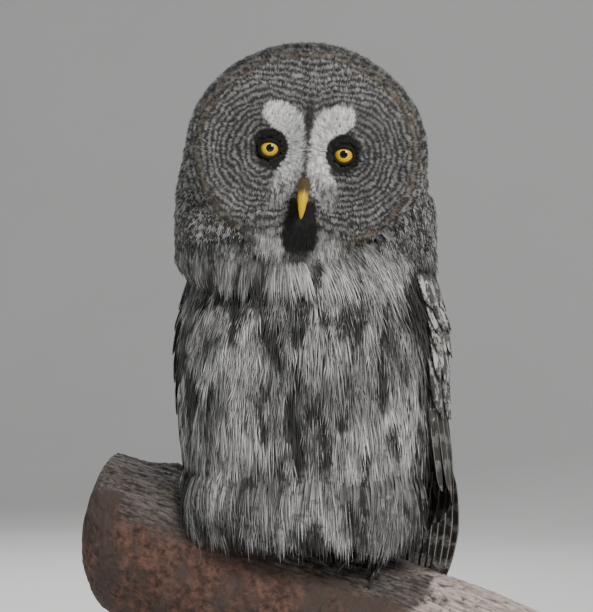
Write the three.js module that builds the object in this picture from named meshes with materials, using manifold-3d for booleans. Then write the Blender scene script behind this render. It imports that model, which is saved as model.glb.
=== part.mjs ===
// A great grey owl on a cut length of branch, held by a plain display stand: a still, life-size model.
// Millimetres, +Z up. The origin is the middle of the stand's underside, and the owl's body faces -Y.
// A height is measured from the branch's upper line at the owl, and an angle from the breast's middle line.
import * as THREE from "three";
import { mergeVertices } from "three/addons/utils/BufferGeometryUtils.js";
import Module from "manifold-3d";

const wasm = await Module();
wasm.setup();

// Driving dimensions
const DEG = Math.PI / 180;
const GAP = 0.3; // left between nodes that touch
const PERCH_TOP = 262; // the branch's upper line at the owl, above the floor
const PERCH_RADIUS = 65;
const PERCH_LEFT = 200; // the branch's reach to each side of its middle, the owl's right being -X
const PERCH_RIGHT = 202;
const PERCH_END_ROUNDING = 60; // length over which its left end is worn round
const PERCH_END_SHARE = 0.45; // share of the radius left at that end
const PERCH_END_LIFT = 34; // the end is worn more from below
const PERCH_TILT = 19 * DEG; // the end on the owl's left is lower
const BASE_THICKNESS = 14;
const BASE_HALF_WIDTH = 165;
const BASE_HALF_DEPTH = 118;
const ROD_RADIUS = 9;
const ROD_SPREAD = 85; // each rod's distance from the middle
const EYE_LEVEL = 303;
const HEAD_TURN = 15 * DEG; // towards the owl's left
const HEAD_ROLL = 5 * DEG;
const HEAD_SHIFT = -4;
const HEAD_BASE = 214; // height where the head meets the neck
const NECK_BASE = 190; // height where the neck meets the torso
const HEAD_HALF_WIDTH = 102;
const HEAD_FRONT = 82;
const HEAD_BACK = 86;
const CROWN_RISE = 140; // from the head's widest line to its top
const HEAD_WIDEST = -53; // from the eye level
const DISC_HALF_WIDTH = 86;
const DISC_HALF_HEIGHT = 77;
const EYE_SPREAD = 29.5;
const EYE_RADIUS = 9.5;
const EYE_DEPTH = -71;
const TAIL_TIP = -226; // height of the longest tail feathers' tips
const TAIL_BACK = 80; // how far behind the perch's middle line the central pair hangs
const FEET_SPREAD = 36;
const LEFT_DROOP = 1; // the owl's left wing stands a little away from the body, the right one hardly
const RIGHT_DROOP = 0.2;
const FINEST_EDGE = 0.05; // slivers thinner than this are taken out of the solids
const FEATHER_THICKNESS = 1.1;
const FEATHER_TILT = 7; // degrees, so that each wing feather laps the next
const LOCK_THICKNESS = 2.4;

// Width along a blade, as pairs of the share of its length and the share of its half width.
const FEATHER_OUTLINE = [[0, 0.6], [0.5, 1], [0.86, 0.82], [1, 0.25]];
const QUILL_OUTLINE = [[0, 0.55], [0.3, 0.9], [0.62, 1], [0.9, 0.8], [1, 0.22]];
const LOCK_OUTLINE = [[0, 0.8], [0.5, 1], [1, 0.12]];
const FRINGE_OUTLINE = [[0, 0.8], [0.35, 1], [0.7, 0.72], [1, 0.12]];

const lerp = THREE.MathUtils.lerp;
const vec = (x, y, z) => new THREE.Vector3(x, y, z);

// A small seeded generator, so that every build is the same.
let seed = 7;
function random(low, high) {
  seed = (seed * 1664525 + 1013904223) % 4294967296;
  return low + ((high - low) * seed) / 4294967296;
}

// The share of the way along a loop of count steps.
const share = (index, count) => index / (count - 1);

// A smooth function through rows of [key, value, value, ...], held level past the ends.
function smoothRows(rows) {
  const last = rows.length - 1;
  return (key) => {
    const held = THREE.MathUtils.clamp(key, rows[0][0], rows[last][0]);
    let i = 0;
    while (i < last - 1 && rows[i + 1][0] < held) i++;
    const t = (held - rows[i][0]) / (rows[i + 1][0] - rows[i][0]);
    const eased = t * t * (3 - 2 * t);
    return rows[i].slice(1).map((value, k) => lerp(value, rows[i + 1][k + 1], lerp(t, eased, 0.35)));
  };
}

// Solids: three.js geometry turned into a manifold, and back

function solidOf(geometry) {
  const bare = geometry.clone();
  bare.deleteAttribute("normal");
  bare.deleteAttribute("uv");
  const merged = mergeVertices(bare, 1e-4);
  const vertProperties = merged.attributes.position.array;
  const triVerts = new Uint32Array(merged.index.array);
  const made = new wasm.Manifold(new wasm.Mesh({ numProp: 3, vertProperties, triVerts }));
  if (made.volume() > 0) return made;
  const turned = new Uint32Array(triVerts).reverse();
  return new wasm.Manifold(new wasm.Mesh({ numProp: 3, vertProperties, triVerts: turned }));
}

function geometryOf(solid) {
  const { numProp, numVert, vertProperties, triVerts } = solid.getMesh();
  const positions = new Float32Array(numVert * 3);
  for (let i = 0; i < numVert; i++) {
    positions.set(vertProperties.subarray(i * numProp, i * numProp + 3), i * 3);
  }
  const geometry = new THREE.BufferGeometry();
  geometry.setAttribute("position", new THREE.BufferAttribute(positions, 3));
  geometry.setIndex(new THREE.BufferAttribute(new Uint32Array(triVerts), 1));
  geometry.computeVertexNormals();
  return geometry;
}

// The largest closed surface of a solid, which drops loose scraps.
function largest(solid) {
  return solid.decompose().reduce((a, b) => (a.volume() >= b.volume() ? a : b));
}

const join = (solids) => wasm.Manifold.union(solids);
const cut = (solid, ...tools) => largest(solid.subtract(join(tools)));
const inFrame = (solid, matrix) => solid.transform(matrix.elements);

// A closed body through rings of points. The quads of a ring's second half are split as those of its first
// half are, so that a thin bent blade has the same triangles on both faces.
function loft(rings) {
  const count = rings[0].length;
  const points = rings.flat();
  const faces = [];
  for (let j = 0; j < rings.length - 1; j++) {
    for (let k = 0; k < count; k++) {
      const a = j * count + k;
      const b = j * count + ((k + 1) % count);
      const c = b + count;
      const d = a + count;
      if (k < count / 2) faces.push(a, b, c, a, c, d);
      else faces.push(a, b, d, b, c, d);
    }
  }
  const end = points.length - count;
  if (count <= 4) {
    for (let k = 1; k < count - 1; k++) {
      faces.push(0, k + 1, k, end, end + k, end + k + 1);
    }
  } else {
    [rings[0], rings[rings.length - 1]].forEach((ring, which) => {
      const middle = ring.reduce((sum, p) => sum.add(p), vec(0, 0, 0)).divideScalar(count);
      const hub = points.push(middle) - 1;
      for (let k = 0; k < count; k++) {
        const next = (k + 1) % count;
        if (which) faces.push(end + k, end + next, hub);
        else faces.push(next, k, hub);
      }
    });
  }
  const geometry = new THREE.BufferGeometry().setFromPoints(points);
  geometry.setIndex(faces);
  return solidOf(geometry);
}

// A tube of varying radius along points, its sections square to its path.
function tube(points, radii, sides, flat = 1) {
  const rings = points.map((p, j) => {
    const next = points[Math.min(j + 1, points.length - 1)];
    const along = next.clone().sub(points[Math.max(j - 1, 0)]).normalize();
    const across = vec(1, 0, 0).addScaledVector(along, -along.x).normalize();
    const up = along.clone().cross(across);
    return Array.from({ length: sides }, (_, k) => {
      const turn = (k / sides) * 2 * Math.PI;
      return p.clone()
        .addScaledVector(across, radii[j] * Math.cos(turn))
        .addScaledVector(up, radii[j] * flat * Math.sin(turn));
    });
  });
  return loft(rings);
}

// A thin flat blade, such as a feather or a lock, through stations of a point and an outward direction.
function blade(stations, halfWidth, outline, thickness) {
  const rings = stations.map(({ point, out }, j) => {
    const along = stations[Math.min(j + 1, stations.length - 1)].point.clone();
    along.sub(stations[Math.max(j - 1, 0)].point);
    const side = out.clone().cross(along).normalize().multiplyScalar(halfWidth * outline[j][1]);
    const thick = out.clone().multiplyScalar((thickness / 2) * (1 - 0.35 * outline[j][0]));
    return [
      point.clone().sub(side).add(thick),
      point.clone().add(side).add(thick),
      point.clone().add(side).sub(thick),
      point.clone().sub(side).sub(thick),
    ];
  });
  return loft(rings);
}

// A closed sheet through a grid of outer points and a like grid of inner ones, split alike on both faces.
function shell(outer, inner) {
  const rows = outer.length;
  const columns = outer[0].length;
  const points = [...outer.flat(), ...inner.flat()];
  const under = rows * columns;
  const faces = [];
  for (let j = 0; j < rows - 1; j++) {
    for (let k = 0; k < columns - 1; k++) {
      const a = j * columns + k;
      const b = a + 1;
      const c = b + columns;
      const d = a + columns;
      faces.push(a, b, c, a, c, d);
      faces.push(under + a, under + c, under + b, under + a, under + d, under + c);
    }
  }
  const wall = (a, b) => faces.push(a, under + b, b, a, under + a, under + b);
  for (let k = 0; k < columns - 1; k++) {
    wall(k, k + 1);
    wall((rows - 1) * columns + k + 1, (rows - 1) * columns + k);
  }
  for (let j = 0; j < rows - 1; j++) {
    wall((j + 1) * columns, j * columns);
    wall(j * columns + columns - 1, (j + 1) * columns + columns - 1);
  }
  const geometry = new THREE.BufferGeometry().setFromPoints(points);
  geometry.setIndex(faces);
  return solidOf(geometry);
}

// Perch: a cut length of a thick branch, round at its upper end and sawn at its lower end

const perchFrame = new THREE.Matrix4()
  .makeRotationY(PERCH_TILT)
  .setPosition(0, 0, PERCH_TOP - PERCH_RADIUS / Math.cos(PERCH_TILT));
const perchInverse = perchFrame.clone().invert();

// How far the worn end has grown to the branch's full girth, from 0 to 1.
function endRounding(along) {
  const fromEnd = THREE.MathUtils.clamp((along + PERCH_LEFT) / PERCH_END_ROUNDING, 0, 1);
  return Math.sqrt(1 - (1 - fromEnd) ** 2.4);
}

function perchRadius(along, around) {
  const swell = 0.022 * Math.sin(2 * around + along / 55) + 0.016 * Math.sin(3 * around - along / 34);
  return PERCH_RADIUS * (1 + swell) * lerp(PERCH_END_SHARE, 1, endRounding(along));
}

function perch(grow = 0) {
  const sides = 22;
  const fractions = [0, 0.02, 0.05, 0.09, 0.13, 0.22, 0.33, 0.44, 0.55, 0.66, 0.77, 0.88, 1];
  const rings = fractions.map((fraction) => {
    const along = lerp(-PERCH_LEFT, PERCH_RIGHT, fraction);
    const reach = fraction === 0 ? -grow : fraction === 1 ? grow : 0;
    const lift = PERCH_END_LIFT * (1 - endRounding(along));
    return Array.from({ length: sides }, (_, k) => {
      const around = (k / sides) * 2 * Math.PI;
      const radius = perchRadius(along, around) + grow;
      return vec(along + reach, radius * Math.sin(around), lift + radius * Math.cos(around));
    });
  });
  const knotPath = [vec(-146, 24, 20), vec(-152, 38, 48), vec(-156, 46, 66 + grow)];
  const knot = tube(knotPath, [26 + grow, 20 + grow, 9 + grow], 10);
  return inFrame(largest(join([loft(rings), knot])), perchFrame);
}

// A point moved straight out of the perch until it clears the bark by a margin.
function clearOfPerch(point, margin) {
  const local = point.clone().applyMatrix4(perchInverse);
  const least = PERCH_RADIUS * 1.04 + margin;
  const distance = Math.hypot(local.y, local.z);
  if (distance < least) {
    local.y *= least / distance;
    local.z *= least / distance;
  }
  return local.applyMatrix4(perchFrame);
}

// Stand: a flat base and two rods up to the perch

function standBase() {
  const bevel = 3;
  const depth = BASE_THICKNESS - 2 * bevel;
  const outline = new THREE.Shape();
  outline.absellipse(0, 0, BASE_HALF_WIDTH - bevel, BASE_HALF_DEPTH - bevel, 0, 2 * Math.PI);
  const plate = new THREE.ExtrudeGeometry(outline, {
    depth, bevelThickness: bevel, bevelSize: bevel, bevelSegments: 1, curveSegments: 20,
  });
  return solidOf(plate.translate(0, 0, bevel));
}

function standRod(side) {
  const low = BASE_THICKNESS + GAP;
  const high = PERCH_TOP - PERCH_RADIUS - side * ROD_SPREAD * Math.tan(PERCH_TILT);
  const rod = new THREE.CylinderGeometry(ROD_RADIUS, ROD_RADIUS, high - low, 20);
  rod.rotateX(Math.PI / 2).translate(side * ROD_SPREAD, 0, (low + high) / 2);
  return cut(solidOf(rod), perch(GAP));
}

// Body surface: the half width, and the reaches forward and back, at each height. Below the belly the
// rows carry on as the surface that the folded wings follow behind the perch.

const bodyRow = smoothRows([
  [-190, 52, 60, 90],
  [-120, 66, 60, 88],
  [-60, 82, 62, 86],
  [0, 92, 72, 84],
  [45, 98, 83, 84],
  [90, 103, 88, 87],
  [135, 106, 88, 88],
  [165, 105, 84, 86],
  [190, 99, 78, 81],
  [214, 95, 74, 78],
]);
const BODY_POWER = 2 / 2.2; // a section slightly squarer than an ellipse

function bodyPoint(height, angle, out = 0) {
  const [width, front, back] = bodyRow(height);
  const sine = Math.sin(angle);
  const cosine = Math.cos(angle);
  return vec(
    Math.sign(sine) * Math.abs(sine) ** BODY_POWER * (width + out),
    -Math.sign(cosine) * Math.abs(cosine) ** BODY_POWER * ((cosine > 0 ? front : back) + out),
    PERCH_TOP + height,
  );
}

function bodyOut(height, angle) {
  const slope = 4 * DEG;
  const before = bodyPoint(height, angle - slope);
  const after = bodyPoint(height, angle + slope);
  const across = after.sub(before);
  return vec(-across.y, across.x, 0).normalize().multiplyScalar(-1);
}

function bodySolid(low, high, levels, sides, grow, scale = () => 1) {
  const rings = Array.from({ length: levels }, (_, j) => {
    const height = lerp(low, high, share(j, levels));
    return Array.from({ length: sides }, (_, k) => {
      const point = bodyPoint(height, (k / sides) * 2 * Math.PI, grow);
      point.x *= scale(height);
      point.y *= scale(height);
      return point;
    });
  });
  return loft(rings);
}

// A blade laid down the body from one [height, angle] to another, lifted off it from out[0] to out[1].
// A tilt in degrees turns its face towards larger angles, so that each blade laps the one before it.
function bodyBlade(from, to, out, halfWidth, outline, thickness, tilt = 0) {
  const stations = outline.map(([t]) => {
    const height = lerp(from[0], to[0], t);
    const angle = lerp(from[1], to[1], t) * DEG;
    const lift = lerp(out[0], out[1], t);
    return {
      point: clearOfPerch(bodyPoint(height, angle, lift), 4 + Math.max(lift, 0)),
      out: bodyOut(height, angle + tilt * DEG),
    };
  });
  return blade(stations, halfWidth, outline, thickness);
}

// Torso: the body under its long loose plumage, with locks in rows down the breast, flanks and back

const BELLY_BASE = 20;
const BELLY_ROUNDING = 24;

function bellyTuck(height) {
  const below = Math.max(BELLY_BASE + BELLY_ROUNDING - height, 0) / (BELLY_ROUNDING + 2);
  return Math.sqrt(1 - below ** 2);
}

function torsoCore(grow = 0) {
  return bodySolid(BELLY_BASE - grow, NECK_BASE, 13, 28, grow, bellyTuck);
}

// The room that a folded wing and its feathers take beside the body. Locks of the coat end short of it.
const WING_EDGE = 66; // degrees from the breast's middle line

function wingRoom(side) {
  const heights = [-60, 0, 50, 100, 150, 190, 216];
  const angles = [WING_EDGE, 82, 98, 114, 130, 146, 162];
  const grid = (out) => heights.map((height) => (
    angles.map((angle) => bodyPoint(height, side * angle * DEG, out))
  ));
  return shell(grid(60), grid(-12));
}

// The part of some locks that stays clear of both wings.
function clearOfWings(locks) {
  return join(locks).subtract(join([wingRoom(1), wingRoom(-1)]));
}

const BREAST_ROWS = [[122, 7], [80, 8]]; // the height of each row's roots, and its number of locks
const LOCK_SPREAD = 58; // degrees to each side of the breast's middle

function breastLocks() {
  return BREAST_ROWS.flatMap(([height, count]) => (
    Array.from({ length: count }, (_, i) => {
      const angle = lerp(-LOCK_SPREAD, LOCK_SPREAD, share(i, count)) + random(-2, 2);
      const drop = random(54, 66);
      return bodyBlade(
        [height, angle], [height - drop, angle + random(-3, 3)], [-1.5, 3 + 3 * (i % 2)],
        random(10, 12.5), LOCK_OUTLINE, LOCK_THICKNESS,
      );
    })
  ));
}

// The belly's fringe hangs from the torso's lower rim, in front of the perch, in an outer and an inner row.
const FRINGE_ROWS = [
  { count: 11, spread: 58, rootHeight: 40, tipHeight: -15 },
  { count: 13, spread: 62, rootHeight: 26, tipHeight: -27 },
];
const FRINGE_FRONT = -64; // its tips hang no further back than this
const FRINGE_STAGGER = 3.2; // every second lock stands this much further out

function fringeLocks() {
  const locks = [];
  FRINGE_ROWS.forEach(({ count, spread, rootHeight, tipHeight }) => {
    for (let i = 0; i < count; i++) {
      const angle = lerp(-spread, spread, share(i, count)) * DEG;
      const root = bodyPoint(rootHeight, angle, -5);
      const out = bodyOut(rootHeight, angle);
      const tip = root.clone().addScaledVector(out, 2);
      tip.y = Math.min(tip.y, FRINGE_FRONT);
      tip.z = PERCH_TOP + tipHeight - 0.06 * tip.x + random(-6, 6);
      tip.addScaledVector(out, FRINGE_STAGGER * (i % 2));
      const bulge = root.clone().lerp(tip, 0.5).addScaledVector(out, 7 + FRINGE_STAGGER * (i % 2));
      const path = new THREE.QuadraticBezierCurve3(root, bulge, tip);
      const stations = FRINGE_OUTLINE.map(([t]) => ({
        point: clearOfPerch(path.getPoint(t), 4),
        out: out.clone().lerp(vec(0, -1, 0), t * 0.7).normalize(),
      }));
      locks.push(blade(stations, random(8.5, 10.5), FRINGE_OUTLINE, LOCK_THICKNESS));
    }
  });
  return locks;
}

function torso() {
  const dressed = join([torsoCore(), clearOfWings([...breastLocks(), ...fringeLocks()])]);
  return cut(dressed, perch(3), leg(1, GAP), leg(-1, GAP), foot(1, GAP), foot(-1, GAP), tail(GAP));
}

// Neck: a short collar between the torso and the head, with its own locks over the torso's upper edge

const NECK_LOCKS = 8;

function neck() {
  const locks = Array.from({ length: NECK_LOCKS }, (_, i) => {
    const angle = lerp(-LOCK_SPREAD, LOCK_SPREAD, share(i, NECK_LOCKS));
    return bodyBlade(
      [HEAD_BASE - 6, angle], [HEAD_BASE - random(36, 44), angle], [-2, 5.5],
      14, LOCK_OUTLINE, LOCK_THICKNESS,
    );
  });
  const collar = bodySolid(NECK_BASE + GAP, HEAD_BASE - GAP, 2, 30, 0);
  return cut(join([collar, clearOfWings(locks)]), torsoCore(GAP));
}

// Head: its own frame has its origin at eye level, with the face towards -Y

const headFrame = new THREE.Matrix4()
  .makeRotationZ(HEAD_TURN)
  .multiply(new THREE.Matrix4().makeRotationY(HEAD_ROLL))
  .setPosition(HEAD_SHIFT, 0, PERCH_TOP + EYE_LEVEL);

// Share of the full reach left at a height, for a dome that is blunter as its power grows.
function domeShare(height, power) {
  const rise = Math.max(height - HEAD_WIDEST, 0) / CROWN_RISE;
  return Math.max(1 - rise ** power, 0) ** (1 / power);
}

function headPoint(height, angle, out = 0) {
  const sine = Math.sin(angle);
  const cosine = Math.cos(angle);
  const lower = Math.max(HEAD_WIDEST - height, 0);
  const width = HEAD_HALF_WIDTH * domeShare(height, 2.3) - 0.0035 * lower ** 2 + out;
  const reach = cosine > 0
    ? HEAD_FRONT * domeShare(height, 3.5) + out
    : HEAD_BACK * domeShare(height, 2.2) - 0.005 * lower ** 2 + out;
  const power = cosine > 0 ? 2 / 3.3 : 2 / 2.2;
  return vec(
    Math.sign(sine) * Math.abs(sine) ** (2 / 2.4) * width,
    -Math.sign(cosine) * Math.abs(cosine) ** power * reach,
    height,
  );
}

function headDome() {
  const sides = 26;
  const below = [-108, -80];
  const steps = 10;
  const above = Array.from({ length: steps }, (_, j) => (
    HEAD_WIDEST + CROWN_RISE * Math.sin((j / (steps - 0.35)) * (Math.PI / 2))
  ));
  return loft([...below, ...above].map((height) => (
    Array.from({ length: sides }, (_, k) => headPoint(height, (k / sides) * 2 * Math.PI))
  )));
}

// The facial disc: two shallow bowls round the eyes, a ridge between them and a raised rim.
function discDepth(across, up) {
  const rho = Math.hypot(across / DISC_HALF_WIDTH, up / DISC_HALF_HEIGHT);
  const bowl = 7 * Math.exp(-((Math.abs(across) - 33) ** 2 + up ** 2) / 968);
  const ridge = 8 * Math.exp(-((across / 9) ** 2)) * THREE.MathUtils.smoothstep(up, -40, -18);
  const rim = 4 * Math.exp(-(((rho - 0.97) / 0.07) ** 2));
  return -86 + 19 * rho ** 2 + bowl - ridge - rim + 0.12 * up;
}

function discPlug(grow = 0) {
  const sectors = 24;
  const steps = [0.14, 0.3, 0.46, 0.64, 0.84, 0.94, 1];
  const ringAt = (rho, depth) => Array.from({ length: sectors }, (_, k) => {
    const turn = (k / sectors) * 2 * Math.PI;
    const across = (DISC_HALF_WIDTH + grow) * rho * Math.cos(turn);
    const up = (DISC_HALF_HEIGHT + grow) * rho * Math.sin(turn);
    return vec(across, depth ?? discDepth(across, up) - grow, up);
  });
  return loft([...steps.map((rho) => ringAt(rho)), ringAt(0.86, -40 + grow), ringAt(0.2, -40 + grow)]);
}

// A short lock on the face, from one [across, up] to another, arched off the disc.
function faceLock(from, to, lift, halfWidth, outline = LOCK_OUTLINE) {
  const stations = outline.map(([t]) => {
    const across = lerp(from[0], to[0], t);
    const up = lerp(from[1], to[1], t);
    const raise = -3 + (lift + 3) * Math.sin(Math.min(t * 1.3, 1) * (Math.PI / 2));
    return { point: vec(across, discDepth(across, up) - raise, up), out: vec(0, -1, 0) };
  });
  return blade(stations, halfWidth, outline, LOCK_THICKNESS);
}

// The pale crescents between the eyes, set back to back.
const BROW_LOCKS = 6;

function browLocks() {
  return [-1, 1].flatMap((side) => Array.from({ length: BROW_LOCKS }, (_, i) => {
    const t = lerp(-1, 1, share(i, BROW_LOCKS));
    const reach = 13 + 17 * Math.abs(t) ** 1.5;
    return faceLock([side * 3.5, 21 * t], [side * reach, 40 * t - 2], 3.5, 4.4);
  }));
}

// The dark bib under the beak and the pale tufts beside it.
const CHIN_LOCKS = 7;

function chinLocks() {
  return Array.from({ length: CHIN_LOCKS }, (_, i) => {
    const t = lerp(-1, 1, share(i, CHIN_LOCKS));
    return faceLock([30 * t, -48 + 3 * Math.abs(t)], [35 * t, -66 + 6 * Math.abs(t)], 3.5, 6);
  });
}

function eyeCentre(side) {
  return vec(side * EYE_SPREAD, EYE_DEPTH, 0);
}

function eye(side, grow = 0) {
  const ball = new THREE.SphereGeometry(EYE_RADIUS + grow, 12, 8);
  return solidOf(ball.translate(...eyeCentre(side).toArray()));
}

// A ring of lid round the eye, higher and further forward at the brow.
const LID_RADIUS = 8.9;
const LID_THICKNESS = 2.1;
const LID_NOD = 10 * DEG;
const LID_YAW = 13 * DEG;

function eyelid(side) {
  const ring = new THREE.TorusGeometry(LID_RADIUS, LID_THICKNESS, 5, 12);
  ring.rotateX(Math.PI / 2 - LID_NOD).rotateY(side * LID_YAW);
  return solidOf(ring.translate(side * EYE_SPREAD, EYE_DEPTH - 6, 0.4));
}

function facialDisc() {
  const face = join([discPlug(), ...browLocks(), ...chinLocks(), eyelid(-1), eyelid(1)]);
  return cut(face, eye(-1, GAP), eye(1, GAP), beakUpper(GAP), beakLower(GAP));
}

// Beak: a hooked upper half over a short lower half, with a nostril on each side

function beakUpper(grow = 0) {
  const path = [[-74, -25], [-88, -25], [-96, -30], [-101, -38], [-102.5, -46], [-100.5, -54]];
  const radii = [5.6, 5.6, 5.2, 4.2, 2.9, 0.6];
  return tube(path.map(([y, z]) => vec(0, y, z)), radii.map((r) => r + grow), 10, 1.15);
}

function beakLower(grow = 0) {
  const path = [[-74, -37], [-86, -38.5], [-92, -42], [-96.5, -47.5]];
  const radii = [4.8, 4.6, 3.6, 1];
  return tube(path.map(([y, z]) => vec(0, y, z)), radii.map((r) => r + grow), 10, 0.75);
}

const NOSTRIL_RADIUS = 1.3;
const NOSTRIL_PLACE = [5.4, -91, -25];

function nostril(side) {
  const [across, depth, height] = NOSTRIL_PLACE;
  return solidOf(new THREE.SphereGeometry(NOSTRIL_RADIUS, 8, 6).translate(side * across, depth, height));
}

// Stiff short feathers in a ring round the disc, rooted in the head behind its rim. They lean outwards and
// forwards, every second one a little further out than its neighbours.
const RUFF_COUNT = 28;
const RUFF_HALF_WIDTH = 9.2;
const RUFF_OUTLINE = [[0, 0.9], [0.5, 1], [1, 0.45]];
const RUFF_ROOT = [3, 30]; // beyond the disc's edge, and behind it
const RUFF_BEND = [8.5, 14];
const RUFF_TIP = [12, 3];
const RUFF_STAGGER = 1.2;

function ruff() {
  return Array.from({ length: RUFF_COUNT }, (_, i) => {
    const turn = (i / RUFF_COUNT) * 2 * Math.PI;
    const outward = vec(Math.cos(turn), 0, Math.sin(turn));
    const rimDepth = discDepth(DISC_HALF_WIDTH * Math.cos(turn), DISC_HALF_HEIGHT * Math.sin(turn));
    const station = ([beyond, behind], forward) => ({
      point: vec(
        (DISC_HALF_WIDTH + beyond + RUFF_STAGGER * (i % 2)) * Math.cos(turn), rimDepth + behind,
        (DISC_HALF_HEIGHT + beyond + RUFF_STAGGER * (i % 2)) * Math.sin(turn),
      ),
      out: outward.clone().lerp(vec(0, -1, 0), forward).normalize(),
    });
    const stations = [station(RUFF_ROOT, 0), station(RUFF_BEND, 0.1), station(RUFF_TIP, 0.2)];
    return blade(stations, RUFF_HALF_WIDTH, RUFF_OUTLINE, LOCK_THICKNESS);
  });
}

function head() {
  const dome = cut(join([headDome(), ...ruff()]), discPlug(GAP));
  return largest(inFrame(dome, headFrame).trimByPlane([0, 0, 1], PERCH_TOP + HEAD_BASE));
}

// Wings: a thin core along the body's side, with coverts, secondaries and primaries in tiers

const WING_FRONT = smoothRows([[30, 80], [110, 73], [206, 76]]);
const WING_BACK = smoothRows([[30, 160], [110, 155], [206, 146]]);

function wingCore(side) {
  const levels = 5;
  const columns = 5;
  const grid = (out) => Array.from({ length: levels }, (_, j) => Array.from({ length: columns }, (_, k) => {
    const height = lerp(42, 206, share(j, levels));
    const angle = lerp(WING_FRONT(height)[0] + 2, WING_BACK(height)[0] - 3, share(k, columns));
    const fullness = Math.sin(share(j, levels) * Math.PI * 0.8 + 0.3);
    return bodyPoint(height, side * angle * DEG, lerp(GAP, out, fullness));
  }));
  return shell(grid(5.5), grid(-1));
}

// Tiers of overlapping feathers: short coverts, long coverts and secondaries. The roots and tips are given at
// the wing's front and back edges as [height, angle]. A tip is lifted off the body, and where the wing droops
// it is lifted further, by droopLift at the edges and by droopBelly in the tier's middle.
const WING_TIERS = [
  {
    count: 5, halfWidth: 16, tipLift: 8, droopLift: 0, droopBelly: 0,
    roots: [[200, 78], [196, 142]], tips: [[154, 80], [146, 148]],
  },
  {
    count: 5, halfWidth: 17, tipLift: 7, droopLift: 3, droopBelly: 0,
    roots: [[162, 78], [154, 148]], tips: [[94, 79], [78, 156]],
  },
  {
    count: 6, halfWidth: 15, tipLift: 5.5, droopLift: 0, droopBelly: 20,
    roots: [[112, 79], [100, 152]], tips: [[42, 86], [-26, 160]],
  },
];
const WING_ROOT_LIFT = 1;

function wingTier(side, droop, { count, halfWidth, tipLift, droopLift, droopBelly, roots, tips }) {
  return Array.from({ length: count }, (_, i) => {
    const t = share(i, count);
    const from = [lerp(roots[0][0], roots[1][0], t), side * lerp(roots[0][1], roots[1][1], t)];
    const to = [lerp(tips[0][0], tips[1][0], t) + random(-3, 3), side * lerp(tips[0][1], tips[1][1], t)];
    const belly = droopBelly * Math.sin(Math.PI * lerp(0.2, 0.95, t));
    const lift = [WING_ROOT_LIFT, tipLift + droop * (droopLift + belly)];
    return bodyBlade(from, to, lift, halfWidth, FEATHER_OUTLINE, FEATHER_THICKNESS, side * FEATHER_TILT);
  });
}

// The long outer flight feathers pass behind the perch, each tucked under the one above it.
const PRIMARIES = 5;
const PRIMARY_HALF_WIDTH = 10.5;

function primaries(side) {
  return Array.from({ length: PRIMARIES }, (_, i) => {
    const t = share(i, PRIMARIES);
    const root = bodyPoint(lerp(74, 62, t), side * lerp(96, 134, t) * DEG, 1.5);
    const middle = vec(side * lerp(99, 58, t), lerp(80, 88, t), PERCH_TOP + 4);
    const tip = vec(side * lerp(82, 40, t), lerp(84, 97, t), PERCH_TOP + lerp(-64, -150, t ** 0.8));
    const control = middle.clone().multiplyScalar(2).sub(root.clone().add(tip).multiplyScalar(0.5));
    const path = new THREE.QuadraticBezierCurve3(root, control, tip);
    const stations = QUILL_OUTLINE.map(([s]) => ({
      point: clearOfPerch(path.getPoint(s), 6), out: vec(side * lerp(0.3, -0.12, s), 1, 0).normalize(),
    }));
    return blade(stations, PRIMARY_HALF_WIDTH, QUILL_OUTLINE, FEATHER_THICKNESS);
  });
}

function wing(side) {
  const droop = side > 0 ? LEFT_DROOP : RIGHT_DROOP;
  const tiers = WING_TIERS.flatMap((tier) => wingTier(side, droop, tier));
  const raw = join([wingCore(side), ...tiers, ...primaries(side)]);
  const clearNeck = bodySolid(NECK_BASE - 4, HEAD_BASE + 8, 3, 30, GAP);
  const ceiling = PERCH_TOP + HEAD_BASE - 3;
  return largest(cut(raw, torsoCore(GAP), clearNeck, tail(GAP), perch(2)).trimByPlane([0, 0, -1], -ceiling));
}

// Tail: twelve feathers in six layers, the middle pair on top, fanned from a short root

const TAIL_PAIRS = 6;
const TAIL_LAYER = 1.9; // from one pair to the next under it
const TAIL_HALF_WIDTH = 16;

function tail(grow = 0) {
  const rootPath = [[-6, 48], [-5, 20], [-5, -8]].map(([back, height]) => (
    vec(0, TAIL_BACK + back, PERCH_TOP + height)
  ));
  const root = tube(rootPath, [27 + grow, 26 + grow, 22 + grow], 12, 0.24);
  const vanes = [-1, 1].flatMap((side) => Array.from({ length: TAIL_PAIRS }, (_, i) => {
    const depth = TAIL_BACK - TAIL_LAYER * i - (side > 0 ? TAIL_LAYER / 2 : 0);
    const top = vec(side * (2 + 2 * i), depth, PERCH_TOP + 40);
    const tip = vec(side * (9 + 7.5 * i), depth + 8, PERCH_TOP + TAIL_TIP + 1.1 * i ** 2);
    const stations = QUILL_OUTLINE.map(([t]) => ({
      point: top.clone().lerp(tip, t).add(vec(0, 5 * t * (t - 1), 0)), out: vec(0, 1, 0),
    }));
    return blade(stations, TAIL_HALF_WIDTH + grow, QUILL_OUTLINE, FEATHER_THICKNESS + 2 * grow);
  }));
  return largest(join([root, ...vanes]));
}

function tailNode() {
  return cut(tail(), torsoCore(GAP));
}

// Legs, feet and claws: the feet stand across the perch, two toes forward and two back

function perchPoint(along, arc, above) {
  const turn = arc / PERCH_RADIUS;
  const radius = perchRadius(along, turn < 0 ? turn + 2 * Math.PI : turn) + above;
  return vec(along, radius * Math.sin(turn), radius * Math.cos(turn)).applyMatrix4(perchFrame);
}

function leg(side, grow = 0) {
  const hip = vec(side * 34, 4, PERCH_TOP + 44);
  const ankle = perchPoint(side * FEET_SPREAD, 3, 9);
  return tube([hip, hip.clone().lerp(ankle, 0.5), ankle], [19 + grow, 16.5 + grow, 13 + grow], 10);
}

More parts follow.
